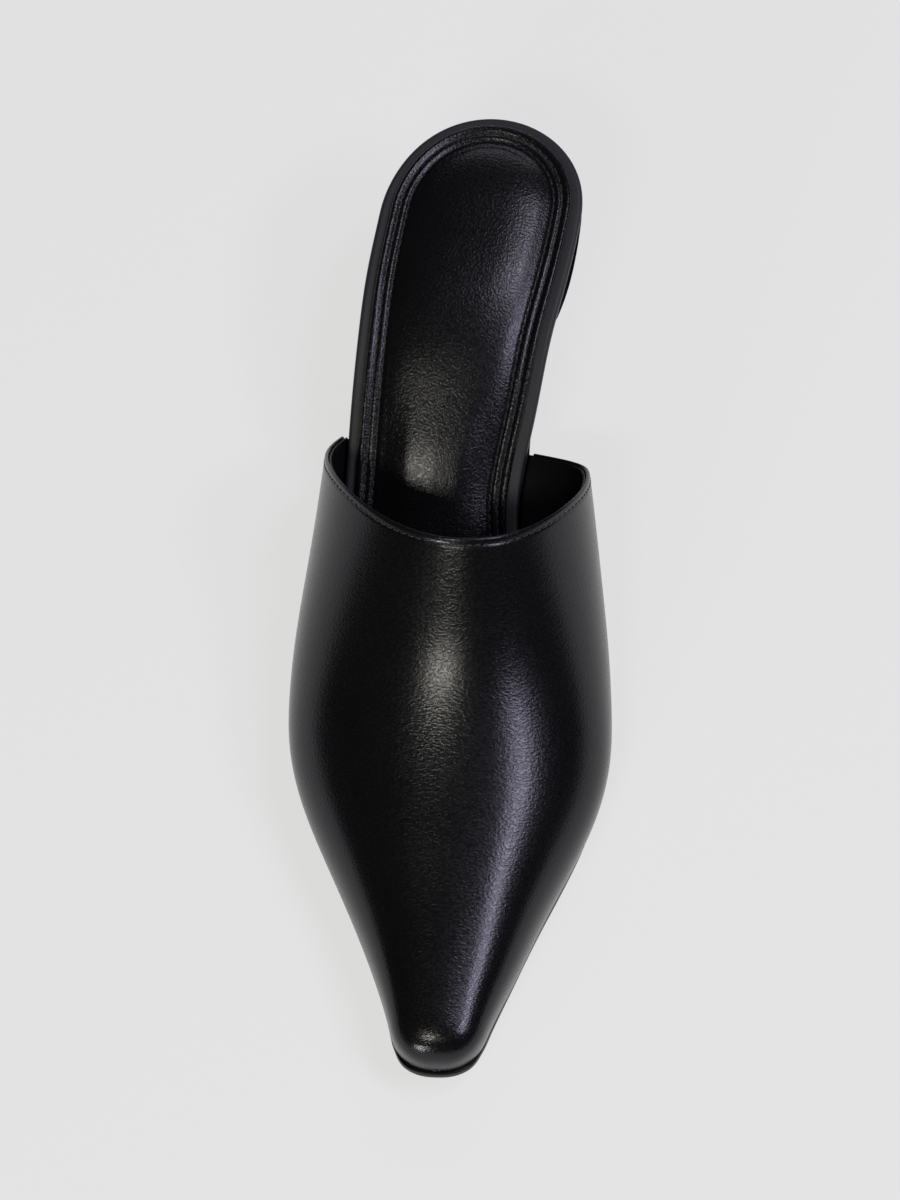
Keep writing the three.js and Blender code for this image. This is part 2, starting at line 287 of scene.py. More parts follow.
@dataclass(frozen=True)
class Leather(Finish):
    """Dyed leather with a pebbled grain."""

    name: str
    colour: Colour
    pale: Colour  # the colour on top of the pebbles
    pebble: Triple  # a pebble's length along X, Y and Z
    depth: float  # how deep the grain is
    smooth: float = 0.2  # roughness on the ripples
    rough: float = 0.28  # roughness between them
    gloss: float = 0.37
    cast: Colour = (0.93, 0.91, 1.0)  # the black dye's cool cast in its reflections
    bends: float = 0.8  # bends in the length of a pebble's edge
    wander: Triple = (1.1, 1.1, 1.1)  # how far the edge bends, in pebbles
    groove: float = 0.5  # share of a pebble that slopes down to its edge
    cracked: float = 0.25  # how much the edges of the pebbles show beside the ripples
    ripple: tuple[float, float] = (0.33, 0.67)  # the noise's values at a ripple's foot and top
    patch: float = 17.0  # size of the duller and paler patches
    uneven: float = 0.03  # how much roughness changes from patch to patch
    pale_pebbles: float = 0.6  # share of the pale colour that the pebbles take; patches take the rest

    def fill(self, shader: Shader) -> None:
        """Makes the nodes.

        Args:
            shader: the shader of the new material.
        """
        cells = shader.place(self.pebble)
        noise = {"Vector": cells, "Scale": self.bends, "Detail": 2.0}
        bend = shader.node("ShaderNodeTexNoise", {}, noise, "Color")
        middle = {0: bend, 1: (0.5, 0.5, 0.5)}
        centred = shader.node("ShaderNodeVectorMath", {"operation": "SUBTRACT"}, middle)
        moved = {0: centred, 1: self.wander, 2: cells}
        warped = shader.node("ShaderNodeVectorMath", {"operation": "MULTIPLY_ADD"}, moved)
        pebbles = {"Vector": warped, "Scale": 1.0, "Randomness": 0.95}
        edge = shader.node("ShaderNodeTexVoronoi", {"feature": "DISTANCE_TO_EDGE"}, pebbles, "Distance")
        pebble = edge.between(0.0, self.groove)
        ripple = shader.noise(0.0, 1.0, cells).between(*self.ripple)
        patches = shader.noise(self.patch, 3.0)
        paleness = pebble * self.pale_pebbles + patches * (1 - self.pale_pebbles)
        shader.principled(
            {
                "Base Color": shader.mix(paleness, self.colour, self.pale),
                "Roughness": self.rough
                + ripple * (self.smooth - self.rough)
                + (patches - 0.5) * (2 * self.uneven),
                "Normal": shader.bump(ripple + pebble * self.cracked, self.depth),
                "Specular IOR Level": self.gloss,
                "Specular Tint": (*self.cast, 1.0),
            }
        )


@dataclass(frozen=True)
class Polish(Finish):
    """An inked and burnished leather edge, or smooth sole leather."""

    name: str
    colour: Colour
    roughness: float
    coat: float
    streak: Triple  # length of a brush mark along X, Y and Z
    depth: float
    gloss: float = 0.12
    coat_roughness: float = 0.16
    wear: tuple[float, float] = (1.7, 0.004)  # the worn colour is so many times the plain one, and this more
    patch: float = 9.0  # size of the worn patches
    uneven: float = 0.12
    marked: float = 0.6  # share of the wear that follows the brush marks; the patches have the rest

    def fill(self, shader: Shader) -> None:
        """Makes the nodes.

        Args:
            shader: the shader of the new material.
        """
        marks = shader.noise(0.0, 3.0, shader.place(self.streak))
        patches = shader.noise(self.patch, 2.0)
        times, more = self.wear
        worn = tuple(c * times + more for c in self.colour)
        wear = marks * self.marked + patches * (1 - self.marked)
        shader.principled(
            {
                "Base Color": shader.mix(wear, self.colour, worn),
                "Roughness": self.roughness + (patches - 0.5) * self.uneven,
                "Normal": shader.bump(marks, self.depth),
                "Specular IOR Level": self.gloss,
                "Coat Weight": self.coat,
                "Coat Roughness": self.coat_roughness,
            }
        )


@dataclass(frozen=True)
class Thread(Finish):
    """Twisted polyester sewing thread."""

    name: str
    colour: Colour
    twist: float  # distance between the plies
    relief: float = 0.05
    # the plies' paleness is a painted highlight, and the grooves' darkness is painted shade
    lit: float = 1.8  # how much paler the plies are than the grooves
    bands: float = 0.32  # how closely the plies follow one another
    wavy: float = 0.6  # how much they waver
    roughness: float = 0.42
    uneven: float = 0.1
    shown: float = 0.6  # how much of the relief shows
    fuzz: float = 0.15

    def fill(self, shader: Shader) -> None:
        """Makes the nodes.

        Args:
            shader: the shader of the new material.
        """
        turns = shader.place((self.twist, self.twist, self.twist))
        waves = {"Vector": turns, "Scale": self.bands, "Distortion": self.wavy}
        bands = {"wave_type": "BANDS", "bands_direction": "DIAGONAL"}
        plies = shader.node("ShaderNodeTexWave", bands, waves, "Fac")
        # painted highlight on the plies and painted shade in the grooves between them
        lit = tuple(c * self.lit for c in self.colour)
        shader.principled(
            {
                "Base Color": shader.mix(plies, self.colour, lit),
                "Roughness": self.roughness + plies * self.uneven,
                "Normal": shader.bump(plies, self.relief, self.shown),
                "Sheen Weight": self.fuzz,
            }
        )


@dataclass(frozen=True)
class Rubber(Finish):
    """Matt moulded rubber."""

    name: str
    colour: Colour
    roughness: float
    speckle: float = 0.35  # size of the moulded texture
    relief: float = 0.03
    scuff: float = 4.0  # size of the scuffs
    pale: float = 2.2  # how much paler a scuff is
    scuffed: tuple[float, float] = (0.45, 0.7)  # the noise's values where a scuff starts and is full
    worn: float = 0.5  # share of the pale colour in a full scuff
    uneven: float = 0.12

    def fill(self, shader: Shader) -> None:
        """Makes the nodes.

        Args:
            shader: the shader of the new material.
        """
        speckle = shader.noise(self.speckle, 3.0)
        scuffs = shader.noise(self.scuff, 4.0).between(*self.scuffed)
        pale = tuple(c * self.pale for c in self.colour)
        shader.principled(
            {
                "Base Color": shader.mix(scuffs * self.worn, self.colour, pale),
                "Roughness": self.roughness + scuffs * self.uneven,
                "Normal": shader.bump(speckle, self.relief),
            }
        )


@dataclass(frozen=True)
class Backdrop(Finish):
    """The studio's pale matt floor, lit a little from within so that shadows stay faint."""

    name: str
    colour: Colour
    glow: float
    cloud: float = 400.0  # size of its faint clouds
    darker: float = 0.985  # the clouds' colour beside the plain one
    roughness: float = 0.9
    gloss: float = 0.1

    def fill(self, shader: Shader) -> None:
        """Makes the nodes.

        Args:
            shader: the shader of the new material.
        """
        cloud = shader.noise(self.cloud, 2.0)
        darker = tuple(c * self.darker for c in self.colour)
        shader.principled(
            {
                "Base Color": shader.mix(cloud, self.colour, darker),
                "Roughness": self.roughness,
                "Specular IOR Level": self.gloss,
                "Emission Color": (1.0, 1.0, 1.0, 1.0),
                "Emission Strength": self.glow,
            }
        )


UPPER_LEATHER = Leather(
    "upper_calf",
    colour=(0.0024, 0.0024, 0.0029),
    pale=(0.0052, 0.0052, 0.0058),
    pebble=(1.0, 0.54, 0.54),
    depth=0.019,
)
FOOTBED_LEATHER = Leather(
    "footbed_sheepskin",
    colour=(0.0026, 0.0026, 0.0029),
    pale=(0.005, 0.005, 0.0054),
    pebble=(0.62, 0.62, 0.62),
    depth=0.026,
    smooth=0.21,
    rough=0.29,
)
RIM_LEATHER = Leather(
    "rim_leather",
    colour=(0.0026, 0.0026, 0.003),
    pale=(0.005, 0.005, 0.0055),
    pebble=(0.6, 0.6, 0.6),
    depth=0.014,
    rough=0.27,
    gloss=0.2,
)
LINING_LEATHER = Leather(
    "lining_leather",
    colour=(0.003, 0.003, 0.0033),
    pale=(0.005, 0.005, 0.0053),
    pebble=(0.45, 0.45, 0.45),
    depth=0.012,
    smooth=0.45,
    rough=0.55,
)
HEEL_LEATHER = Leather(
    "heel_calf",
    colour=(0.0024, 0.0024, 0.0028),
    pale=(0.0048, 0.0048, 0.0054),
    pebble=(0.75, 0.75, 0.75),
    depth=0.018,
)
SOLE_EDGE = Polish("sole_edge", (0.0022, 0.0022, 0.0026), 0.42, 0.06, (3.0, 3.0, 0.3), 0.006)
SOLE_FACE = Polish("sole_face", (0.006, 0.006, 0.0065), 0.4, 0.0, (0.5, 6.0, 0.5), 0.008)
BLACK_THREAD = Thread("black_thread", (0.006, 0.006, 0.0065), 0.3)
TOP_RUBBER = Rubber("top_piece_rubber", (0.007, 0.007, 0.007), 0.58)
STUDIO_FLOOR = Backdrop("studio_floor", (0.18, 0.18, 0.18), 0.655)


# ---- The last -------------------------------------------------------------------------------------

# The last's sections: the outline at the feather edge, the widest outline and its height on each side,
# the ridge's x, the crown's z, and how full the shoulders are. Behind the vamp a row has only the outline.
LAST_COLUMNS = (
    *("s", "lateral", "medial", "lat_wide", "med_wide"),
    *("lat_rise", "med_rise", "ridge", "crown", "full"),
)
LAST_ROWS = (
    (0, -19.8, 33.2),
    (15, -20.8, 32.4),
    (30, -23.2, 30.5),
    (45, -25.7, 27.5),
    (60, -27.3, 23.8),
    (80, -28.9, 19.9, -31.0, 29.0, 12, 18, 2.0, 108.9, -0.22),
    (95, -29.8, 16.7, -33.0, 32.5, 12, 17, 2.5, 97.4, -0.22),
    (110, -31.0, 16.9, -35.2, 35.2, 12, 16, 3.0, 85.7, -0.21),
    (125, -33.0, 22.4, -37.6, 37.5, 12.5, 15, 3.0, 74.1, -0.2),
    (140, -34.8, 30.0, -39.6, 39.4, 13, 14, 2.8, 62.6, -0.17),
    (155, -35.7, 35.4, -40.5, 40.5, 12.5, 13.5, 2.4, 51.5, -0.11),
    (170, -34.85, 36.8, -39.55, 40.4, 12, 13, 2.0, 43.5, -0.04),
    (185, -31.2, 33.9, -35.2, 37.1, 10.5, 12, 1.5, 37.6, 0.04),
    (200, -25.5, 28.1, -28.4, 30.6, 9, 10, 0.8, 32.9, 0.14),
    (215, -19.15, 21.6, -21.35, 23.4, 7, 8, 0.2, 28.7, 0.23),
    (230, -13.7, 15.6, -15.2, 17, 5.5, 6, -0.3, 25.1, 0.31),
    (245, -9.7, 9.9, -10.4, 10.6, 4.5, 4.5, -0.5, 22, 0.37),
    (256, -7.4, 6.8, -8, 7.3, 4, 4, -0.6, 19.8, 0.4),
)
# The sock's relief: two stitched channels, then the swelling of the padding.
RELIEF_COLUMNS = ("inset", "height")
RELIEF_ROWS = (
    (0, 0),
    (0.7, 0.02),
    (1.2, -0.03),
    (1.8, -0.2),
    (2.4, -0.4),
    (3.0, -0.18),
    (3.45, -0.1),
    (3.9, -0.18),
    (4.5, -0.44),
    (5.2, -0.06),
    (6.2, 0.4),
    (8, 1.02),
    (11, 1.75),
    (15, 2.35),
    (20, 2.65),
    (30, 2.7),
)
# The top line, from the lateral feather edge over the instep to the medial one.
TOP_LINE_COLUMNS = ("across", "s")
TOP_LINE_ROWS = (
    (0, 83.8),
    (0.1, 94.6),
    (0.2, 105),
    (0.3, 116.8),
    (0.4, 127.4),
    (0.5, 132),
    (0.6, 127.2),
    (0.7, 115.7),
    (0.8, 103.8),
    (0.9, 93.6),
    (1, 86.8),
)


class Spline:
    """The natural cubic spline through one column of a table."""

    def __init__(
        self, columns: Sequence[str], rows: Sequence[Sequence[float]], key: str, column: str
    ) -> None:
        """Solves for the spline's bends.

        Args:
            columns: the names of the table's columns.
            rows: its rows; a short row has only the first columns.
            key: the column that the spline runs along.
            column: the column that it gives.
        """
        which = columns.index(column)
        kept = [row for row in rows if len(row) > which]
        self.at = np.array([row[columns.index(key)] for row in kept], float)
        self.value = np.array([row[which] for row in kept], float)
        count = len(kept)
        step = np.diff(self.at)
        matrix = np.eye(count)
        right = np.zeros(count)
        for i in range(1, count - 1):
            matrix[i, i - 1 : i + 2] = step[i - 1], 2 * (step[i - 1] + step[i]), step[i]
            right[i] = 6 * np.diff(np.diff(self.value[i - 1 : i + 2]) / step[i - 1 : i + 1])[0]
        self.bend = np.linalg.solve(matrix, right)

    def __call__(self, at: Number) -> Number:
        """The spline's value.

        Args:
            at: one or more places.

        Returns:
            The value at each.
        """
        at = np.asarray(at, float)
        i = np.clip(np.searchsorted(self.at, at) - 1, 0, len(self.at) - 2)
        step = self.at[i + 1] - self.at[i]
        a = (self.at[i + 1] - at) / step
        b = (at - self.at[i]) / step
        curve = (a**3 - a) * self.bend[i] + (b**3 - b) * self.bend[i + 1]
        return a * self.value[i] + b * self.value[i + 1] + curve * step * step / 6


def smooth_step(start: float, end: float, at: Number) -> Number:
    """Eases from 0 at `start` to 1 at `end`."""
    t = np.clip((at - start) / (end - start), 0, 1)
    return t * t * (3 - 2 * t)


def eased(run: Number, easing: float) -> Number:
    """What a slope gains over `run` when it eases in over the first `easing` of it."""
    t = np.clip(run / easing, 0, 1)
    return easing * (t**3 - t**4 / 2) + np.maximum(run - easing, 0)


def closing(share: Number, square: float) -> Number:
    """0 at the very end of a rounded outline and 1 from its full width on."""
    return (1 - (1 - np.clip(share, 0, 1)) ** square) ** (1 / square)


@dataclass
class Last:
    """The form that the shoe is built on, with the places that every piece is worked out from."""

    length: float = 255.0
    ball_break: float = 164.0  # s where the waist reaches the floor
    waist_front: float = 100.0
    waist_back: float = 85.0
    waist_slope: float = 0.56
    seat_front: float = 35.0
    seat_slope: float = 0.16
    tread_end: float = 195.0
    toe_spring: float = 7.5
    wall: float = 2.0
    gap: float = 0.3
    sole_forepart: float = 3.2
    sole_waist: float = 2.0
    sole_thins: tuple[float, float] = (95.0, 150.0)  # s where it thins from forepart to waist
    sole_ledge: float = 0.8
    insole_edge: float = 3.2
    insole_cup: float = 1.2
    insole_short: float = 2.0
    seat_round: float = 27.0
    toe_round: float = 9.0
    toe_square: float = 2.5
    toe_wall: float = 3.4
    narrowest: float = 0.25  # half the width that a ring inside the outline never goes under
    samples: int = 200  # points in half a section
    curves: dict[str, Spline] = field(init=False)
    top_line: Spline = field(init=False)

    def __post_init__(self) -> None:
        """Makes the splines of the two tables."""
        self.curves = {name: Spline(LAST_COLUMNS, LAST_ROWS, "s", name) for name in LAST_COLUMNS[1:]}
        self.top_line = Spline(TOP_LINE_COLUMNS, TOP_LINE_ROWS, "across", "s")

    @property
    def tip(self) -> float:
        """s of the last's tip."""
        return self.length - self.sole_ledge - self.wall - self.gap

    def place(self, x: Number, s: Number, z: Number) -> np.ndarray:
        """A point of the last as x, y, z."""
        return np.stack(np.broadcast_arrays(x, self.length / 2 - np.asarray(s, float), z), axis=-1)

    def sole_under(self, s: Number) -> Number:
        """Height of the sole's underside: seat, waist, flat tread and toe spring.

        Args:
            s: places along the foot.

        Returns:
            z at each.
        """
        spring = np.maximum(0, s - self.tread_end) / (self.length - self.tread_end)
        waist = self.waist_slope * eased(self.ball_break - s, self.ball_break - self.waist_front)
        flatter = self.waist_slope - self.seat_slope
        seat = flatter * eased(self.waist_back - s, self.waist_back - self.seat_front)
        return self.toe_spring * spring**2 + waist - seat

    def sole_top(self, s: Number) -> Number:
        """Height of the sole's upper face."""
        thicker = self.sole_forepart - self.sole_waist
        return self.sole_under(s) + self.sole_waist + thicker * smooth_step(*self.sole_thins, s)

    def feather(self, s: Number) -> Number:
        """Height of the underside of the insole and of the upper."""
        return self.sole_top(s) + self.gap

    def middle(self, s: Number) -> Number:
        """x of the insole's middle."""
        return (self.curves["lateral"](s) + self.curves["medial"](s)) / 2

    def half_width(self, s: Number) -> Number:
        """Half the insole's width."""
        return (self.curves["medial"](s) - self.curves["lateral"](s)) / 2

    def outline(self, side: Side, s: Number, grow: Number, tip: float) -> Number:
        """x of an outline that stands `grow` outside the insole's.

        Args:
            side: the side of the foot.
            s: places along it.
            grow: how far outside the insole it stands.
            tip: s of the outline's front end, where `grow` is 0.

        Returns:
            x at each s.
        """
        back = closing((s + grow) / (self.seat_round + grow), 2)
        front = closing((tip + grow - s) / (self.toe_round + grow / 2), self.toe_square)
        half = np.maximum(self.half_width(s) + grow, self.narrowest)
        return self.middle(s) + side.value * half * back * front

    def insole_top(self, x: Number, s: Number) -> Number:
        """Height of the insole's cupped upper face."""
        across = np.minimum(np.abs(x - self.middle(s)) / self.half_width(s), 1)
        return self.feather(s) + self.insole_edge - self.insole_cup * (1 - across**2)

    def half_section(self, side: Side, s: np.ndarray, grow: float) -> tuple[np.ndarray, np.ndarray]:
        """Half of a section at each s, from the feather edge to the crown, `grow` outside the last.

        Args:
            side: the side of the foot.
            s: places along it.
            grow: how far outside the last the section is.

        Returns:
            x and z, a row for each s and a column for each sample.
        """
        prefix = "lat" if side is Side.LATERAL else "med"
        s = s[:, None]
        edge = self.curves["lateral" if side is Side.LATERAL else "medial"](s)
        share = (self.tip + self.gap + grow - s) / (self.toe_round + grow / 2)
        narrow = closing(share, self.toe_square)
        low = closing(share, self.toe_wall)
        ridge = self.curves["ridge"](s)
        floor = self.feather(s)
        foot = edge + side.value * (self.gap + grow)
        belly = self.curves[prefix + "_wide"](s) + side.value * grow
        belly_height = self.curves[prefix + "_rise"](s) * low
        top = (self.curves["crown"](s) + grow - floor) * low
        lower = self.samples // 4
        t = np.arange(lower)[None, :] / lower
        angle = np.linspace(0, math.pi / 2, self.samples - lower + 1)[None, :]
        shoulder = np.cos(angle) * (1 + self.curves["full"](s) * np.sin(angle) ** 2)
        x = np.hstack([foot + (belly - foot) * (1 - (1 - t) ** 2), ridge + (belly - ridge) * shoulder])
        z = np.hstack([belly_height * t, belly_height + (top - belly_height) * np.sin(angle)])
        centre = self.middle(s)
        return centre + (x - centre) * narrow, floor + z

    def point(self, s: np.ndarray, v: np.ndarray, grow: float) -> np.ndarray:
        """Points of the surface that stands `grow` outside the last.

        Args:
            s: the points' places along the foot.
            v: their places round the section, from 0 at the lateral feather edge to 1 at the medial.
            grow: how far outside the last they are.

        Returns:
            A row of x, y, z for each.
        """
        points = np.zeros((len(s), 3))
        for side in Side:
            chosen = np.flatnonzero(v < 0.5 if side is Side.LATERAL else v >= 0.5)
            x, z = self.half_section(side, s[chosen], grow)
            steps = np.hypot(np.diff(x, axis=1), np.diff(z, axis=1))
            run = np.hstack([np.zeros((len(chosen), 1)), np.cumsum(steps, axis=1)])
            target = run[:, -1] * (1 - np.abs(2 * v[chosen] - 1))
            i = np.clip((run < target[:, None]).sum(axis=1) - 1, 0, steps.shape[1] - 1)
            row = np.arange(len(chosen))
            share = (target - run[row, i]) / np.maximum(steps[row, i], 1e-9)
            x_at = x[row, i] + share * (x[row, i + 1] - x[row, i])
            z_at = z[row, i] + share * (z[row, i + 1] - z[row, i])
            points[chosen] = self.place(x_at, s[chosen], z_at)
        return points


# ---- Meshes ---------------------------------------------------------------------------------------


def unit(vectors: np.ndarray) -> np.ndarray:
    """The vectors at length 1."""
    return vectors / np.maximum(np.linalg.norm(vectors, axis=-1, keepdims=True), 1e-12)


@dataclass
class MeshDraft:
    """Points in millimetres and the faces between them, as they are put together."""

    points: list[np.ndarray] = field(default_factory=list)
    faces: list[tuple[int, ...]] = field(default_factory=list)
    count: int = 0

    def add(self, points: np.ndarray) -> np.ndarray:
        """Adds points.

        Args:
            points: an array whose last axis is x, y, z.

        Returns:
            The points' numbers, in the array's shape.
        """
        flat = points.reshape(-1, 3)
        self.points.append(flat)
        first = self.count
        self.count += len(flat)
        return np.arange(first, self.count).reshape(points.shape[:-1])

    def bridge(self, rows: np.ndarray, closed: bool) -> None:
        """Adds the quads between neighbouring rows of points.

        Args:
            rows: numbers of the points, row by row.
            closed: True if each row's last point joins its first.
        """
        if closed:
            rows = np.hstack([rows, rows[:, :1]])
        quads = np.stack([rows[:-1, :-1], rows[:-1, 1:], rows[1:, 1:], rows[1:, :-1]], axis=-1)
        self.faces.extend(map(tuple, quads.reshape(-1, 4).tolist()))

    def tube(self, rings: Sequence[np.ndarray]) -> np.ndarray:
        """Adds closed rings of as many points each, and the skin between them.

        Args:
            rings: the rings, in order.

        Returns:
            The points' numbers, ring by ring.
        """
        numbers = self.add(np.array(rings))
        self.bridge(numbers, closed=True)
        return numbers

    def polygon(self, numbers: Sequence[int]) -> None:
        """Adds one face, without points that repeat.

        Args:
            numbers: its points' numbers, in order.
        """
        kept = list(dict.fromkeys(int(n) for n in numbers))
        if len(kept) > 2:
            self.faces.append(tuple(kept))

    def object(self, name: str, finish: Finish) -> bpy.types.Object:
        """Makes the Blender object, smooth and with its normals facing out.

        Args:
            name: the object's name.
            finish: its finish.

        Returns:
            The object, linked to the scene.
        """
        mesh = bpy.data.meshes.new(name)
        mesh.from_pydata((np.vstack(self.points) * MM).tolist(), [], self.faces)
        mesh.validate()
        mesh.polygons.foreach_set("use_smooth", [True] * len(mesh.polygons))
        mesh.materials.append(finish.material())
        mesh.update()
        made = bpy.data.objects.new(name, mesh)
        bpy.context.scene.collection.objects.link(made)
        return made


@dataclass
class SubAssembly:
    """A part of the shoe that is made from the last and stands for nodes of the frame."""

    last: Last
    ring_ends: int = 26  # places of a ring on each rounded end
    ring_middle: int = 150  # and between them

    @staticmethod
    def finish_piece(piece: bpy.types.Object, slot: str, stands_for: Sequence[str] = ()) -> bpy.types.Object:
        """Ties a piece to the frame.

        Args:
            piece: the piece, in place.
            slot: the record's material slot; not used.
            stands_for: the frame's nodes that it is shown for.

        Returns:
            The piece.
        """
        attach(piece, "root")
        if stands_for:
            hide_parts(*stands_for)
        return piece

    def stations(self, grow: Callable[[Number], Number], tip: float) -> np.ndarray:
        """Places along the foot for a ring, closer together round both ends.

        Args:
            grow: how far outside the insole the ring is, at any s.
            tip: s of the ring's front end, where it does not grow.

        Returns:
            s from the back end to the front end.
        """
        back, front = float(grow(0.0)), float(grow(self.last.length))
        turn = np.linspace(0, math.pi / 2, self.ring_ends)
        round_back = -back + (self.last.seat_round + back) * (1 - np.cos(turn))
        reach = self.last.toe_round + front / 2
        square = 2 / self.last.toe_square
        round_front = tip + front - reach * (1 - np.sin(turn) ** square)
        straight = np.linspace(round_back[-1], round_front[0], self.ring_middle + 2)[1:-1]
        return np.concatenate([round_back, straight, round_front])

    def ring(self, grow: Callable[[Number], Number], tip: float, height: Height) -> np.ndarray:
        """A closed ring: back end, lateral side, front end, medial side.

        Args:
            grow: how far outside the insole the ring is, at any s.
            tip: s of its front end, where it does not grow.
            height: z at any x and s.

        Returns:
            Its points.
        """
        s = self.stations(grow, tip)
        sides = []
        for side in Side:
            x = self.last.outline(side, s, grow(s), tip)
            sides.append(self.last.place(x, s, height(x, s)))
        return np.vstack([sides[0], sides[1][-2:0:-1]])

    @staticmethod
    def fill(
        draft: MeshDraft,
        ring: np.ndarray,
        numbers: np.ndarray,
        across: int,
        up: bool,
        shape: Callable[[np.ndarray], np.ndarray] | None = None,
    ) -> None:
        """Fills a ring with rungs from side to side.

        Args:
            draft: the mesh that the ring is in.
            ring: the ring's points.
            numbers: their numbers in the mesh.
            across: steps in a rung.
            up: True if the filling faces up.
            shape: gives the rungs' inner points their final places; without it they stay straight.
        """
        half = len(ring) // 2
        left = np.arange(1, half)
        right = (len(ring) - left) % len(ring)
        share = np.linspace(0, 1, across + 1)[1:-1][None, :, None]
        rungs = ring[left][:, None] * (1 - share) + ring[right][:, None] * share
        if shape is not None:
            rungs = shape(rungs)
        inner = draft.add(rungs)
        grid = np.column_stack([numbers[left], inner, numbers[right]])
        draft.bridge(grid if not up else grid[::-1], closed=False)
        for pole, row in ((numbers[0], grid[0]), (numbers[half], grid[-1])):
            for a, b in zip(row[:-1], row[1:]):
                flip = (pole == numbers[0]) == up
                draft.polygon([pole, a, b] if flip else [pole, b, a])

    @staticmethod
    def sew(draft: MeshDraft, path: np.ndarray, normals: np.ndarray, thread: float, pitch: float) -> None:
        """Lays a row of stitches along a path.

        Args:
            draft: the mesh that they join.
            path: points of the seam.
            normals: the surface's normal at each.
            thread: the thread's thickness.
            pitch: distance from one stitch to the next.
        """
        run = np.concatenate([[0], np.cumsum(np.linalg.norm(np.diff(path, axis=0), axis=1))])
        count = int(run[-1] / pitch)
        along = (np.arange(count) + 0.5) * run[-1] / count
        reach = 0.3  # the seam's direction is taken over this much on either side

        def sample(values: np.ndarray, shift: float = 0.0) -> np.ndarray:
            """The values at the stitches, or `shift` along from them."""
            return np.stack([np.interp(along + shift, run, values[:, k]) for k in range(3)], axis=-1)

        at = sample(path)
        out = unit(sample(normals))
        run_way = unit(sample(path, reach) - sample(path, -reach))
        side_way = unit(np.cross(out, run_way))
        lengthwise = np.linspace(-1, 1, 8)
        round_way = np.linspace(0, 2 * math.pi, 7)[:-1]
        half = pitch * 0.43  # the rest of the pitch is the gap between two stitches
        bow = np.abs(lengthwise) ** 3
        thick = thread / 2 * np.sqrt(np.clip(1 - bow, 0.03, 1))
        level = thread * (0.25 - 0.55 * bow)  # proud in its middle, sunk in the holes
        for p, t, n, b in zip(at, run_way, out, side_way):
            centre = p + t * (half * lengthwise)[:, None] + n * level[:, None]
            offset = b * np.cos(round_way)[:, None] + n * np.sin(round_way)[:, None]
            numbers = draft.tube(centre[:, None] + offset[None] * thick[:, None, None])
            draft.polygon(numbers[0][::-1])
            draft.polygon(numbers[-1])


@dataclass
class Sole(SubAssembly):
    """The leather outsole: a rounded, inked edge round a plain leather face."""

    tuck: float = 0.5  # how far it is tucked in under the seat
    wall_from: tuple[float, float] = (79.0, 98.0)  # s where it widens to carry the vamp's wall
    ledge_from: tuple[float, float] = (110.0, 150.0)  # s where its ledge grows
    ledge_fades: tuple[float, float] = (185.0, 225.0)  # s where the ledge narrows beside the toe
    ledge_returns: tuple[float, float] = (247.0, 253.0)  # s where it is whole again, at the tip
    ledge_narrow: float = 0.8  # share of the ledge that is lost beside the toe
    edge: EdgeTable = (
        (1.3, 0.0, False),
        (0.7, 0.05, False),
        (0.32, 0.2, False),
        (0.1, 0.45, False),
        (0.0, 0.8, False),
        (0.0, -0.45, True),
        (0.06, -0.2, True),
        (0.22, -0.05, True),
        (0.5, 0.0, True),
    )  # (inset, height, from the upper face) round the edge, from below

    def grow(self, s: Number) -> Number:
        """How far the sole stands out from the insole's edge.

        Args:
            s: places along the foot.

        Returns:
            The distance at each.
        """
        under_wall = self.last.gap + self.last.wall + self.tuck
        beside_toe = smooth_step(*self.ledge_fades, s) * (1 - smooth_step(*self.ledge_returns, s))
        ledge = smooth_step(*self.ledge_from, s) - self.ledge_narrow * beside_toe
        return -self.tuck + under_wall * smooth_step(*self.wall_from, s) + self.last.sole_ledge * ledge

    def edge_ring(self, inset: float, rise: float, from_top: bool) -> np.ndarray:
        """A ring of the sole's edge.

        Args:
            inset: how far in from the edge it is.
            rise: its height over the level that it counts from.
            from_top: True to count from the upper face, False from the underside.

        Returns:
            Its points.
        """
        level = self.last.sole_top if from_top else self.last.sole_under
        return self.ring(lambda s: self.grow(s) - inset, self.last.tip, lambda x, s: level(s) + rise)

    def build(self) -> list[bpy.types.Object]:
        """Makes the sole.

        Returns:
            Its piece.
        """
        draft = MeshDraft()
        rings = [self.edge_ring(*row) for row in self.edge]
        numbers = draft.tube(rings)
        self.fill(draft, rings[0], numbers[0], across=8, up=False)
        self.fill(draft, rings[-1], numbers[-1], across=4, up=True)
        made = draft.object("sole", SOLE_EDGE)
        made.data.materials.append(SOLE_FACE.material())
        edge_faces = (len(self.edge) - 1) * len(rings[0])
        which = np.zeros(len(made.data.polygons), np.int32)
        which[edge_faces:] = 1
        made.data.polygons.foreach_set("material_index", which)
        return [self.finish_piece(made, "sole_leather", ["outsole"])]


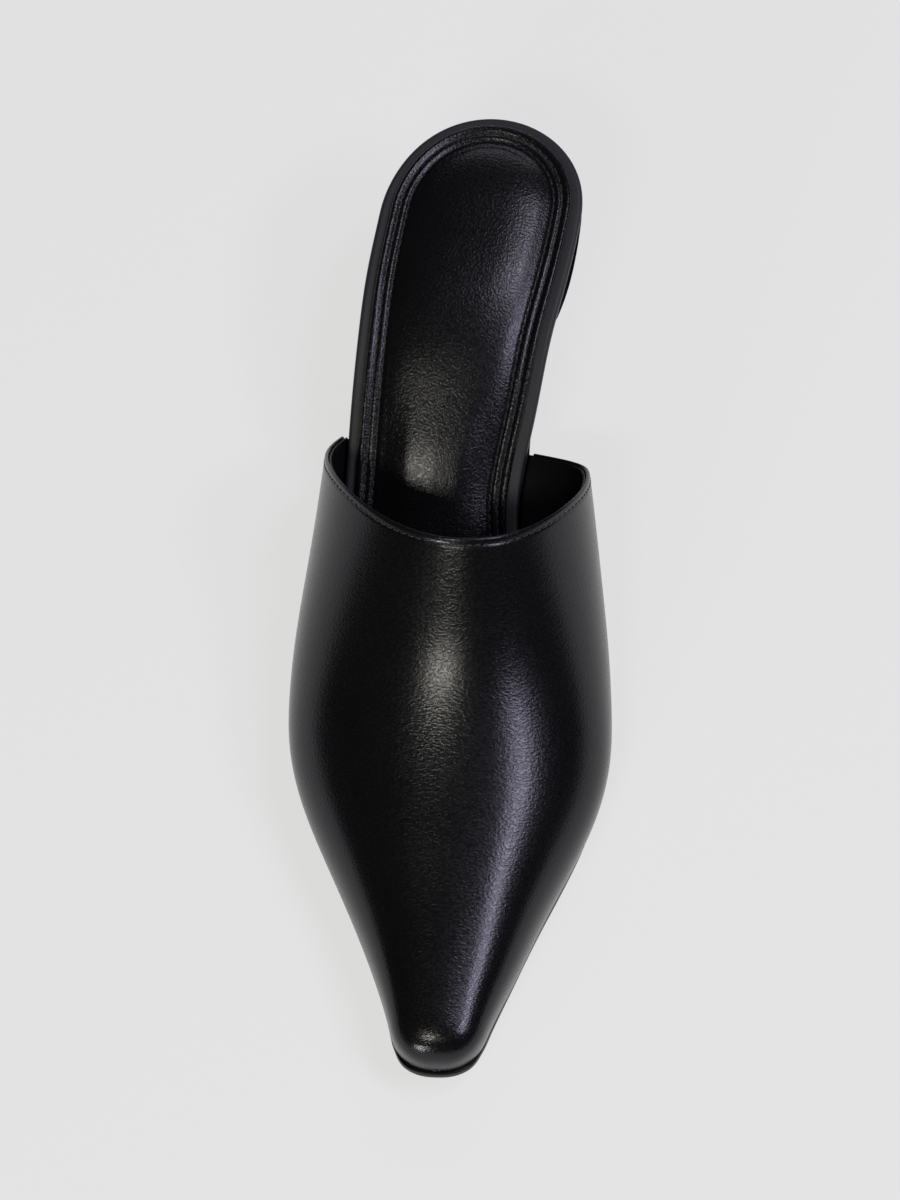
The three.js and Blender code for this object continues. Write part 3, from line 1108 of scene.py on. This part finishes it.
@dataclass
class Footbed(SubAssembly):
    """The insole's wrapped board and the padded sock that is stitched to it."""

    rim: float = 3.0  # the insole's rim shows this wide round the sock
    thick: float = 2.2
    rim_edge: EdgeTable = (
        (0.9, 0.0, False),
        (0.4, 0.06, False),
        (0.1, 0.3, False),
        (0.0, 0.65, False),
        (0.0, -1.05, True),
        (0.07, -0.7, True),
        (0.24, -0.4, True),
        (0.5, -0.18, True),
        (0.85, -0.05, True),
        (1.3, 0.0, True),
        (2.4, -0.02, True),
        (5.0, -0.02, True),
    )  # (inset, height, from the upper face) round the wrapped board, from below
    seams: tuple[float, float] = (2.4, 4.5)  # insets of the two rows of stitches
    edge_round: float = 1.1  # how far in the sock's edge is rounded
    edge_drop: float = 1.0
    turned_in: tuple[float, float] = (1.2, 0.12)  # insets of the rings under the sock
    clearance: float = 0.02  # their height over the insole
    side: float = 0.35  # height over the insole of the ring at the sock's side
    edge_insets: tuple[float, ...] = (0.02, 0.1, 0.22, 0.38, 0.58, 0.82, 1.1)
    step: float = 0.2  # distance between the further rings
    roll: float = 7.0  # the last ring's inset
    sag: float = 0.2  # how far the plain level lies under the sock's full thickness
    arch_at: float = 91.0  # s where the padding swells under the arch
    arch_length: float = 11.0
    arch_lift: float = 0.9
    thread: float = 0.42
    pitch: float = 2.5
    section: Spline = field(default_factory=lambda: Spline(RELIEF_COLUMNS, RELIEF_ROWS, "inset", "height"))

    @property
    def tip(self) -> float:
        """s of the insole's tip."""
        return self.last.tip - self.last.insole_short

    def inset_ring(self, inset: float, height: Height) -> np.ndarray:
        """A ring inside the insole's edge."""
        return self.ring(lambda s: 0 * s - inset, self.tip, height)

    def over_insole(self, rise: float) -> Height:
        """The height of a level over the insole's upper face."""
        return lambda x, s: self.last.insole_top(x, s) + rise

    def over_feather(self, rise: float) -> Height:
        """The height of a level over the insole's underside."""
        return lambda x, s: self.last.feather(s) + rise

    def build_rim(self) -> bpy.types.Object:
        """Makes the insole with its wrapped edge.

        Returns:
            Its piece.
        """
        draft = MeshDraft()
        rings = [
            self.inset_ring(inset, self.over_insole(rise) if from_top else self.over_feather(rise))
            for inset, rise, from_top in self.rim_edge
        ]
        numbers = draft.tube(rings)
        self.fill(draft, rings[0], numbers[0], across=4, up=False)
        self.fill(draft, rings[-1], numbers[-1], across=12, up=True, shape=self.settle(self.over_insole(0.0)))
        return self.finish_piece(draft.object("insole_rim", RIM_LEATHER), "rim_leather", ["insole"])

    def settle(self, height: Height) -> Callable[[np.ndarray], np.ndarray]:
        """A function that lays points on a surface.

        Args:
            height: the surface's z at any x and s.

        Returns:
            The function, from points to points.
        """

        def laid(points: np.ndarray) -> np.ndarray:
            """Gives the points the surface's height."""
            s = self.last.length / 2 - points[..., 1]
            return np.stack([points[..., 0], points[..., 1], height(points[..., 0], s)], axis=-1)

        return laid

    def relief(self, inset: Number) -> Number:
        """Height of the sock over its plain level, `inset` from its edge.

        Args:
            inset: distance in from the sock's edge.

        Returns:
            The relief: rounded edge, two stitched channels, and swelling padding.
        """
        rounded = np.clip(1 - inset / self.edge_round, 0, 1)
        edge = self.edge_drop * (1 - np.sqrt(np.maximum(1 - rounded**2, 0)))
        furthest = RELIEF_ROWS[-1][0]
        return self.section(np.minimum(inset, furthest)) - edge

    def sock_level(self, x: Number, s: Number) -> Number:
        """Plain height of the sock's upper face."""
        return self.last.insole_top(x, s) + self.last.gap + self.thick - self.sag

    def sock_ring(self, inset: float) -> np.ndarray:
        """A ring of the sock's upper face, `inset` in from its edge."""
        lift = float(self.relief(inset))
        return self.inset_ring(self.rim + inset, lambda x, s: self.sock_level(x, s) + lift)

    def build_sock(self) -> bpy.types.Object:
        """Makes the padded sock.

        Returns:
            Its piece.
        """
        draft = MeshDraft()
        sole = self.over_insole(self.clearance)
        foot = [self.inset_ring(self.rim + inset, sole) for inset in self.turned_in]
        waist = self.inset_ring(self.rim, self.over_insole(self.side))
        further = np.arange(self.edge_insets[-1] + 0.25, self.roll + 0.01, self.step)
        upper_face = [self.sock_ring(float(inset)) for inset in (*self.edge_insets, *further)]
        rings = [*foot, waist, *upper_face]
        numbers = draft.tube(rings)
        self.fill(draft, rings[0], numbers[0], across=4, up=False, shape=self.settle(sole))
        self.fill(draft, rings[-1], numbers[-1], across=40, up=True, shape=self.swell(rings[-1]))
        sock = draft.object("padded_sock", FOOTBED_LEATHER)
        return self.finish_piece(sock, "footbed_leather", ["sock"])

    def swell(self, edge: np.ndarray) -> Callable[[np.ndarray], np.ndarray]:
        """A function that gives the sock's middle its swelling.

        Args:
            edge: the ring that the middle starts from.

        Returns:
            The function, from rungs of points to rungs of points.
        """

        def swollen(rungs: np.ndarray) -> np.ndarray:
            """Lifts each point by its distance from the ring, and more over the arch.

            Args:
                rungs: the points, rung by rung.

            Returns:
                The points at their own heights.
            """
            flat = rungs[..., :2].reshape(-1, 1, 2)
            nearest = np.full(len(flat), np.inf)
            for part in np.array_split(edge[:, :2], 8):
                nearest = np.minimum(nearest, np.linalg.norm(flat - part[None], axis=-1).min(axis=1))
            x, s = rungs[..., 0], self.last.length / 2 - rungs[..., 1]
            inset = self.roll + nearest.reshape(x.shape)
            arch = np.exp(-(((s - self.arch_at) / self.arch_length) ** 2))
            inside = smooth_step(self.roll, 2 * self.roll, inset)
            lift = self.relief(inset) + self.arch_lift * arch * inside
            return np.stack([x, rungs[..., 1], self.sock_level(x, s) + lift], axis=-1)

        return swollen

    def build_stitches(self) -> bpy.types.Object:
        """Makes both rows of stitches.

        Returns:
            Their piece.
        """
        draft = MeshDraft()
        for inset in self.seams:
            ring = self.sock_ring(inset)
            closed = np.vstack([ring, ring[:1]])
            x, s = closed[:, 0], self.last.length / 2 - closed[:, 1]
            slope = self.sock_level(x, s + 0.5) - self.sock_level(x, s - 0.5)
            lean = self.sock_level(x + 0.5, s) - self.sock_level(x - 0.5, s)
            normals = unit(np.stack([-lean, slope, np.ones_like(s)], axis=-1))
            self.sew(draft, closed, normals, self.thread, self.pitch)
        made = draft.object("footbed_stitches", BLACK_THREAD)
        return self.finish_piece(made, "footbed_leather")

    def build(self) -> list[bpy.types.Object]:
        """Makes the footbed.

        Returns:
            Its pieces.
        """
        return [self.build_rim(), self.build_sock(), self.build_stitches()]


@dataclass
class Heel(SubAssembly):
    """The covered block heel and its rubber top piece."""

    breast: float = 54.0  # s of the front face where it meets the sole
    foot_back: float = 5.0
    foot_front: float = 45.5
    foot_half: float = 20.2
    foot_middle: float = 2.1
    foot_round: float = 0.95  # share of its half width over which the foot is rounded at the back
    foot_square: float = 2.1
    top_piece: float = 5.5
    top_piece_edge: tuple[tuple[float, float], ...] = (
        (0.9, 0.0),
        (0.4, 0.08),
        (0.12, 0.3),
        (0.0, 0.7),
        (0.0, 5.1),
        (0.08, 5.35),
        (0.3, 5.5),
    )  # (inset, z) round the top piece, from below
    seat_inset: float = 0.9  # the block's top edge is this far inside the seat at the back
    medial_swell: tuple[tuple[int, float], ...] = ((2, 4.6), (4, -3.5), (12, -0.6))
    lateral_swell: tuple[tuple[int, float], ...] = ((2, 1.3),)  # (power of the share forward, mm)
    flare: float = 0.45  # share of the block's spread that comes late, under the seat
    cover_inset: float = 0.3  # the cover's foot is this far inside the top piece
    cover_gap: float = 0.12  # and this far over it
    cover_narrow: float = 0.985  # its underside is so many times as wide as its lowest edge
    cover_round: float = 0.1  # and this far under it
    corner: float = 1.4  # radius of the breast's corners
    levels: int = 40

    def ring_of(self, edge: Callable[[Side, np.ndarray], np.ndarray]) -> np.ndarray:
        """A D-shaped ring: round at the back and flat across the breast, with rounded corners.

        Args:
            edge: points of the side wall, from share 0 at the back to 1 at the breast.

        Returns:
            Its points, from the back round the lateral side.
        """
        ends = {side: edge(side, np.array([1.0]))[0] for side in Side}
        middle = (ends[Side.LATERAL] + ends[Side.MEDIAL]) / 2
        sides = []
        for side in Side:
            corner = ends[side]
            shares = np.linspace(1, 0.8, 41)  # the corner ends well within this range
            reach = np.linalg.norm(edge(side, shares) - corner, axis=1)
            stop = np.interp(self.corner, reach, shares)
            turn = np.linspace(0, math.acos(1 - stop), 44)
            wall = edge(side, 1 - np.cos(turn))
            inward = corner + unit(middle - corner) * self.corner
            t = np.linspace(0, 1, 9)[1:, None]
            rounded = wall[-1] * (1 - t) ** 2 + corner * 2 * t * (1 - t) + inward * t**2
            across = inward + (middle - inward) * t
            sides.append(np.vstack([wall, rounded, across]))
        return np.vstack([sides[0], sides[1][-2:0:-1]])

    def seat_edge(self, side: Side, share: np.ndarray) -> np.ndarray:
        """The heel's top edge, just inside the outsole.

        Args:
            side: the side of the foot.
            share: from 0 at the back to 1 at the breast.

        Returns:
            Its points.
        """
        s = self.seat_inset + (self.breast - self.seat_inset) * share
        terms = self.medial_swell if side is Side.MEDIAL else self.lateral_swell
        proud = sum(swell * share**power for power, swell in terms) - self.seat_inset
        return self.last.place(self.last.outline(side, s, proud, self.last.tip), s, self.last.sole_under(s))

    def foot_edge(self, side: Side, share: np.ndarray, inset: float, z: float) -> np.ndarray:
        """The edge of the heel's foot, as the top piece.

        Args:
            side: the side of the foot.
            share: from 0 at the back to 1 at the breast.
            inset: how far inside the top piece's edge.
            z: its height.

        Returns:
            Its points.
        """
        back, front = self.foot_back + inset, self.foot_front - inset
        s = back + (front - back) * share
        half = self.foot_half - inset
        out = half * closing((s - back) / (half * self.foot_round), self.foot_square)
        x = self.foot_middle + side.value * out
        return self.last.place(x, s, z)

    def wall(self, up: float) -> Callable[[Side, np.ndarray], np.ndarray]:
        """The block's side wall at one level.

        Args:
            up: from 0 at the foot to 1 at the seat.

        Returns:
            A function that gives its points, from a side and shares forward.
        """
        low_z = self.top_piece + self.cover_gap
        spread = (1 - self.flare) * up + self.flare * up**3

        def edge(side: Side, share: np.ndarray) -> np.ndarray:
            """The wall's points on one side.

            Args:
                side: the side of the foot.
                share: from 0 at the back to 1 at the breast.

            Returns:
                The points.
            """
            low = self.foot_edge(side, share, self.cover_inset, low_z)
            high = self.seat_edge(side, share)
            points = low + (high - low) * spread
            points[:, 2] = low_z + (high[:, 2] - low_z) * up
            return points

        return edge

    def build_block(self) -> bpy.types.Object:
        """Makes the covered block.

        Returns:
            Its piece.
        """
        draft = MeshDraft()
        rings = [self.ring_of(self.wall(up)) for up in np.linspace(0, 1, self.levels + 1)]
        foot = rings[0].copy()
        centre = foot.mean(axis=0)
        foot[:, :2] = centre[:2] + (foot[:, :2] - centre[:2]) * self.cover_narrow
        foot[:, 2] -= self.cover_round
        rings.insert(0, foot)
        numbers = draft.tube(rings)
        draft.polygon(numbers[0][::-1])
        self.fill(draft, rings[-1], numbers[-1], across=4, up=True)
        made = draft.object("heel_cover", HEEL_LEATHER)
        return self.finish_piece(made, "heel_cover", ["heel_block"])

    def build_top_piece(self) -> bpy.types.Object:
        """Makes the rubber top piece.

        Returns:
            Its piece.
        """
        draft = MeshDraft()
        rings = [
            self.ring_of(lambda side, share, inset=inset, z=z: self.foot_edge(side, share, inset, z))
            for inset, z in self.top_piece_edge
        ]
        numbers = draft.tube(rings)
        draft.polygon(numbers[0][::-1])
        draft.polygon(numbers[-1])
        made = draft.object("heel_tip", TOP_RUBBER)
        return self.finish_piece(made, "top_piece", ["heel_top_piece"])

    def build(self) -> list[bpy.types.Object]:
        """Makes the heel.

        Returns:
            Its pieces.
        """
        return [self.build_block(), self.build_top_piece()]


@dataclass
class Upper(SubAssembly):
    """The vamp of folded calf, its lining and the stitching along the top line."""

    columns: int = 168
    near: tuple[float, ...] = tuple(0.25 * i for i in range(13))  # rows beside the folded edge
    middle_rows: int = 104
    cap_rows: int = 26
    leather: float = 1.1  # thickness of the folded edge
    lining: float = 0.84
    lining_back: float = 0.3  # the lining stops this far short of the fold
    seam: float = 1.8  # distance of the stitching from the edge
    seam_depth: float = 0.16
    seam_width: float = 0.42
    thread: float = 0.4
    pitch: float = 2.2
    vamp_tuck: float = 1.2  # how far the vamp turns in under the feather edge
    turn_in: tuple[tuple[float, float], ...] = ((0.1, 0.16), (0.35, 0.28), (1.0, 0.3))  # (share of it, drop)
    relax: int = 24  # rounds of smoothing round each section
    ease: float = 0.12  # share of the vamp over which its rows' steps grow
    cap_end: float = 0.997  # how far round the toe the last row lies
    keep: int = 4  # the hidden face has one row for so many of the shown one's

    def base(self, grow: float, start: float) -> tuple[np.ndarray, np.ndarray]:
        """The surface `grow` outside the last, from `start` inside the top line to the tip.

        Args:
            grow: how far outside the last it is.
            start: distance of the first row from the top line, square to it.

        Returns:
            Its points, a row for each distance from the top line, and their outward normals.
        """
        v = np.linspace(0, 1, self.columns + 1)
        edge_s = self.last.top_line(v)
        on_edge = self.last.point(edge_s, v, grow)
        way = unit(np.gradient(on_edge, axis=0))
        inward = self.last.point(edge_s + 0.5, v, grow) - self.last.point(edge_s - 0.5, v, grow)
        square = inward - way * (inward * way).sum(axis=1, keepdims=True)
        per_s = np.linalg.norm(square, axis=1)
        tip = self.last.tip + self.last.gap + grow
        reach = self.last.toe_round + grow / 2
        cap_start = tip - reach
        near = [edge_s + (start + d) / per_s for d in self.near]
        step = (near[-1] - near[-2]).mean()
        middle = [near[-1] + (cap_start - near[-1]) * t for t in self.spread(near[-1], cap_start, step)]
        turn = np.linspace(0, math.pi / 2, self.cap_rows + 1)[1:] * self.cap_end
        cap_s = tip - reach * (1 - np.sin(turn) ** (2 / self.last.toe_square))
        cap = [np.full(self.columns + 1, s) for s in cap_s]
        rows = np.array([self.last.point(s, v, grow) for s in [*near, *middle, *cap]])
        for _ in range(self.relax):
            rows[:, 1:-1] = (rows[:, :-2] + 2 * rows[:, 1:-1] + rows[:, 2:]) / 4
        across = np.gradient(rows, axis=1)
        forward = np.gradient(rows, axis=0)
        return rows, unit(np.cross(forward, across))

    def spread(self, start: np.ndarray, end: float, step: float) -> np.ndarray:
        """Shares of the way to the toe cap, with steps that grow evenly away from the edge.

        Args:
            start: s of the last close row.
            end: s of the cap's first row.
            step: the step that the rows start with.

        Returns:
            Shares from just over 0 to 1.
        """
        length = float(end - start.mean())
        t = np.linspace(0, 1, self.middle_rows + 1)[1:]
        slack = (1 - step * self.middle_rows / length) * self.ease
        return t - slack * (1 - np.exp(-t / self.ease)) + slack * t * (1 - math.exp(-1 / self.ease))

    @staticmethod
    def lip(face: np.ndarray, normals: np.ndarray, radius: float, outside: bool) -> list[np.ndarray]:
        """The rounded edge from one face of a sheet to the other.

        Args:
            face: the face's rows, from the edge on.
            normals: the outward normals there.
            radius: half the sheet's thickness.
            outside: True if the face is the sheet's outer one.

        Returns:
            The rows of the edge, from the face's side on.
        """
        way = unit(np.gradient(face[0], axis=0))
        back = face[0] - face[1]
        back = unit(back - way * (back * way).sum(axis=1, keepdims=True))
        out = normals[0] * (radius if outside else -radius)
        centre = face[0] - out
        turn = np.linspace(0, math.pi, 11)[1:]
        return [centre + out * math.cos(a) + back * radius * math.sin(a) for a in turn]

    def thinned(self, grow: float, start: float) -> np.ndarray:
        """A sheet's hidden face, with only some of the rows.

        Args:
            grow: how far outside the last it is.
            start: distance of its first row from the top line.

        Returns:
            Its points, row by row.
        """
        rows, _ = self.base(grow, start)
        return np.concatenate([rows[:: self.keep], rows[-1:]])

    def shell(
        self, shown: np.ndarray, lip: list[np.ndarray], hidden: np.ndarray, outside: bool, tuck: float
    ) -> MeshDraft:
        """A closed sheet from its shown face, its edge and its hidden face.

        Args:
            shown: the shown face, from the top line to the tip.
            lip: the rows of the edge.
            hidden: the other face, with a row for every few of the shown one's.
            outside: True if the shown face is the outer one.
            tuck: how far the shown face turns in under its feather edge.

        Returns:
            The mesh.
        """
        draft = MeshDraft()
        if tuck:
            shown, lip, hidden = [self.tucked(np.asarray(rows), tuck) for rows in (shown, lip, hidden)]
        shown_numbers = draft.add(np.asarray(shown))
        lip_numbers = draft.add(np.asarray(lip))
        hidden_numbers = draft.add(np.asarray(hidden))
        chain = np.vstack([shown_numbers[::-1], lip_numbers, hidden_numbers])
        if not outside:
            chain = chain[:, ::-1]
        draft.bridge(chain, closed=False)
        for column, turn in ((0, 1), (-1, -1)):
            feet, edge, inner = (rows[:, column] for rows in (shown_numbers, lip_numbers, hidden_numbers))
            way = turn if outside else -turn
            draft.polygon([feet[0], *edge, inner[0]][::way])
            for k in range(len(inner) - 1):
                strip = feet[k * self.keep : (k + 1) * self.keep + 1]
                draft.polygon([*strip[::-1], inner[k], inner[k + 1]][::way])
        feet, inner = shown_numbers[-1], hidden_numbers[-1]
        draft.polygon([feet[0], feet[-1], inner[-1], inner[0]])
        draft.polygon(feet[:: 1 if outside else -1])
        draft.polygon(inner[:: -1 if outside else 1])
        return draft

    def tucked(self, rows: np.ndarray, tuck: float) -> np.ndarray:
        """Adds columns that turn in under both feather edges.

        Args:
            rows: rows of points.
            tuck: how far they turn in.

        Returns:
            The rows with three more columns at each end.
        """
        inner = self.columns // 4  # a column well inside the edge
        out = [rows]
        for column, step in ((0, 1), (-1, -1)):
            foot = rows[:, column]
            along = np.gradient(foot, axis=0)
            inward = np.stack([along[:, 1], -along[:, 0], np.zeros(len(foot))], axis=-1)
            toward = np.median((inward * (rows[:, inner * step] - foot)).sum(axis=1))
            inward = unit(inward) * math.copysign(1.0, float(toward))
            extra = [foot + inward * tuck * share - np.array([0, 0, drop]) for share, drop in self.turn_in]
            block = np.stack(extra, axis=1)
            out = [block[:, ::-1], *out] if column == 0 else [*out, block]
        return np.concatenate(out, axis=1)

    def build(self) -> list[bpy.types.Object]:
        """Makes the upper.

        Returns:
            Its pieces.
        """
        distance = self.leather / 2 + np.array(self.near)
        rows, normals = self.base(self.last.wall, self.leather / 2)
        channel = np.exp(-(((distance - self.seam) / self.seam_width) ** 2))
        shown = rows.copy()
        shown[: len(distance)] -= normals[: len(distance)] * self.seam_depth * channel[:, None, None]
        seam_row = int(np.argmin(np.abs(distance - self.seam)))
        return [
            self.build_vamp(shown, self.lip(rows, normals, self.leather / 2, outside=True)),
            self.build_stitches(shown[seam_row], normals[seam_row]),
            self.build_lining(),
        ]

    def build_vamp(self, shown: np.ndarray, lip: list[np.ndarray]) -> bpy.types.Object:
        """Makes the vamp.

        Args:
            shown: its outer face, with the seam's channel.
            lip: the rows of its folded edge.

        Returns:
            Its piece.
        """
        hidden = self.thinned(self.last.wall - self.leather, self.leather / 2)
        sheet = self.shell(shown, lip, hidden, outside=True, tuck=self.vamp_tuck)
        return self.finish_piece(sheet.object("vamp", UPPER_LEATHER), "upper_leather", ["upper"])

    def build_stitches(self, seam: np.ndarray, normals: np.ndarray) -> bpy.types.Object:
        """Makes the stitches under the top line.

        Args:
            seam: the row of points that they follow.
            normals: the outward normals there.

        Returns:
            Their piece.
        """
        draft = MeshDraft()
        inside = slice(2, -2)  # the row stops short of both feather edges
        self.sew(draft, seam[inside], normals[inside], self.thread, self.pitch)
        return self.finish_piece(draft.object("top_line_stitches", BLACK_THREAD), "upper_leather")

    def build_lining(self) -> bpy.types.Object:
        """Makes the lining.

        Returns:
            Its piece.
        """
        radius = self.lining / 2
        start = self.lining_back + radius
        face, normals = self.base(0.0, start)
        lip = self.lip(face, normals, radius, outside=False)
        sheet = self.shell(face, lip, self.thinned(self.lining, start), outside=False, tuck=0.0)
        return self.finish_piece(sheet.object("lining", LINING_LEATHER), "upper_leather")


# ---- The studio -----------------------------------------------------------------------------------


def heading(azimuth: float, elevation: float) -> Vector:
    """A direction from the shoe.

    Args:
        azimuth: degrees from straight in front of the toe towards +X.
        elevation: degrees above the floor.

    Returns:
        The direction, of length 1.
    """
    turn, rise = math.radians(azimuth), math.radians(elevation)
    level = math.cos(rise)
    return Vector((math.sin(turn) * level, -math.cos(turn) * level, math.sin(rise)))


@dataclass(frozen=True)
class Softbox:
    """A lit panel that faces the shoe."""

    name: str
    azimuth: float
    elevation: float
    width: float  # metres
    height: float
    power: float  # watts
    colour: Colour
    distance: float = 1.3

    def build(self, target: Vector) -> None:
        """Makes the light.

        Args:
            target: the point that it faces.
        """
        back = heading(self.azimuth, self.elevation)
        data = bpy.data.lights.new(self.name, "AREA")
        data.shape = "RECTANGLE"
        data.size = self.width
        data.size_y = self.height
        data.energy = self.power
        data.color = self.colour
        lamp = bpy.data.objects.new(self.name, data)
        lamp.location = target + back * self.distance
        lamp.rotation_euler = (-back).to_track_quat("-Z", "Y").to_euler()
        lamp.visible_camera = False
        bpy.context.scene.collection.objects.link(lamp)


@dataclass
class Studio:
    """The floor, the lights and the camera."""

    elevation: float = 66.0  # of the camera, in degrees
    azimuth: float = 4.0
    roll: float = 2.2
    distance: float = 1.3
    lens: float = 148.98  # mm, with the sensor's width
    sensor: float = 36.0
    clip: tuple[float, float] = (0.05, 50.0)
    target: Triple = (-0.0007, -0.0035, 0.03)
    floor_radii: tuple[float, ...] = (0.3, 1.0, 3.0, 9.0)
    floor_spokes: int = 96
    softboxes: tuple[Softbox, ...] = (
        Softbox("key", -16.0, 53.5, 0.28, 0.13, 3.3, (1.0, 1.0, 0.83)),
        Softbox("medial", 71.0, 52.5, 0.38, 0.2, 4.2, (0.86, 0.83, 1.0)),
        Softbox("overhead", 105.0, 70.0, 0.24, 0.24, 3.2, (0.9, 0.88, 1.0)),
        Softbox("toe", -20.0, 13.0, 0.3, 0.12, 5.0, (1.0, 1.0, 0.88)),
        Softbox("back", 172.0, 42.0, 0.8, 0.16, 1.4, (0.94, 0.94, 1.0)),
    )
    sky: tuple[tuple[float, Colour], ...] = (
        (0.0, (0.7, 0.7, 0.7)),
        (0.49, (0.7, 0.7, 0.7)),
        (0.508, (0.24, 0.24, 0.245)),
        (0.53, (0.08, 0.08, 0.084)),
        (0.6, (0.035, 0.035, 0.038)),
        (1.0, (0.03, 0.03, 0.033)),
    )  # (share of the way from straight down to straight up, colour)

    def build_floor(self) -> bpy.types.Object:
        """Makes the pale floor.

        Returns:
            The floor.
        """
        draft = MeshDraft()
        turn = np.linspace(0, 2 * math.pi, self.floor_spokes + 1)[:-1]
        radii = np.array(self.floor_radii)[:, None] / MM
        x, y = radii * np.cos(turn), radii * np.sin(turn)
        rings = np.stack([x, y, np.zeros_like(x)], axis=-1)
        numbers = draft.add(rings)
        draft.bridge(numbers[::-1], closed=True)
        draft.polygon(numbers[0])
        floor = draft.object("floor", STUDIO_FLOOR)
        return floor

    def build_world(self) -> None:
        """Makes the surroundings: pale near the floor and dark overhead."""
        world = bpy.data.worlds.new("studio")
        bpy.context.scene.world = world
        world.use_nodes = True
        shader = Shader(world.node_tree)
        way = shader.node("ShaderNodeTexCoord", output="Generated")
        up = shader.node("ShaderNodeSeparateXYZ", {}, {"Vector": way}, "Z")
        sky = shader.node("ShaderNodeValToRGB", {"stops": self.sky}, {"Fac": up * 0.5 + 0.5}, "Color")
        background = shader.node("ShaderNodeBackground", {}, {"Color": sky, "Strength": 1.0})
        shader.node("ShaderNodeOutputWorld", {}, {"Surface": background})

    def build_camera(self) -> None:
        """Places the camera high in front of the toe, rolled a little."""
        roll = math.radians(self.roll)
        back = heading(self.azimuth, self.elevation)
        right = (-back).cross(Vector((0, 0, 1))).normalized()
        up = right.cross(-back)
        across = right * math.cos(roll) - up * math.sin(roll)
        upward = right * math.sin(roll) + up * math.cos(roll)
        data = bpy.data.cameras.new("camera")
        data.lens = self.lens
        data.sensor_width = self.sensor
        data.clip_start, data.clip_end = self.clip
        camera = bpy.data.objects.new("camera", data)
        facing = Matrix((across, upward, back)).transposed()
        camera.matrix_world = Matrix.Translation(Vector(self.target) + back * self.distance) @ facing.to_4x4()
        bpy.context.scene.collection.objects.link(camera)
        bpy.context.scene.camera = camera

    def build(self) -> None:
        """Makes the studio."""
        self.build_camera()
        self.build_floor()
        self.build_world()
        for softbox in self.softboxes:
            softbox.build(Vector(self.target))
        bpy.context.scene.view_settings.view_transform = "Standard"


def main() -> None:
    """Builds the studio and the shoe, and reports each piece."""
    logging.basicConfig(level=logging.INFO, format="%(name)s: %(message)s")
    Studio().build()
    last = Last()
    for assembly in (Sole(last), Footbed(last), Heel(last), Upper(last)):
        for piece in assembly.build():
            size = ", ".join(f"{length / MM:.1f}" for length in piece.dimensions)
            LOG.info("%s: %d faces, %s mm", piece.name, len(piece.data.polygons), size)


if __name__ == "__main__":
    main()
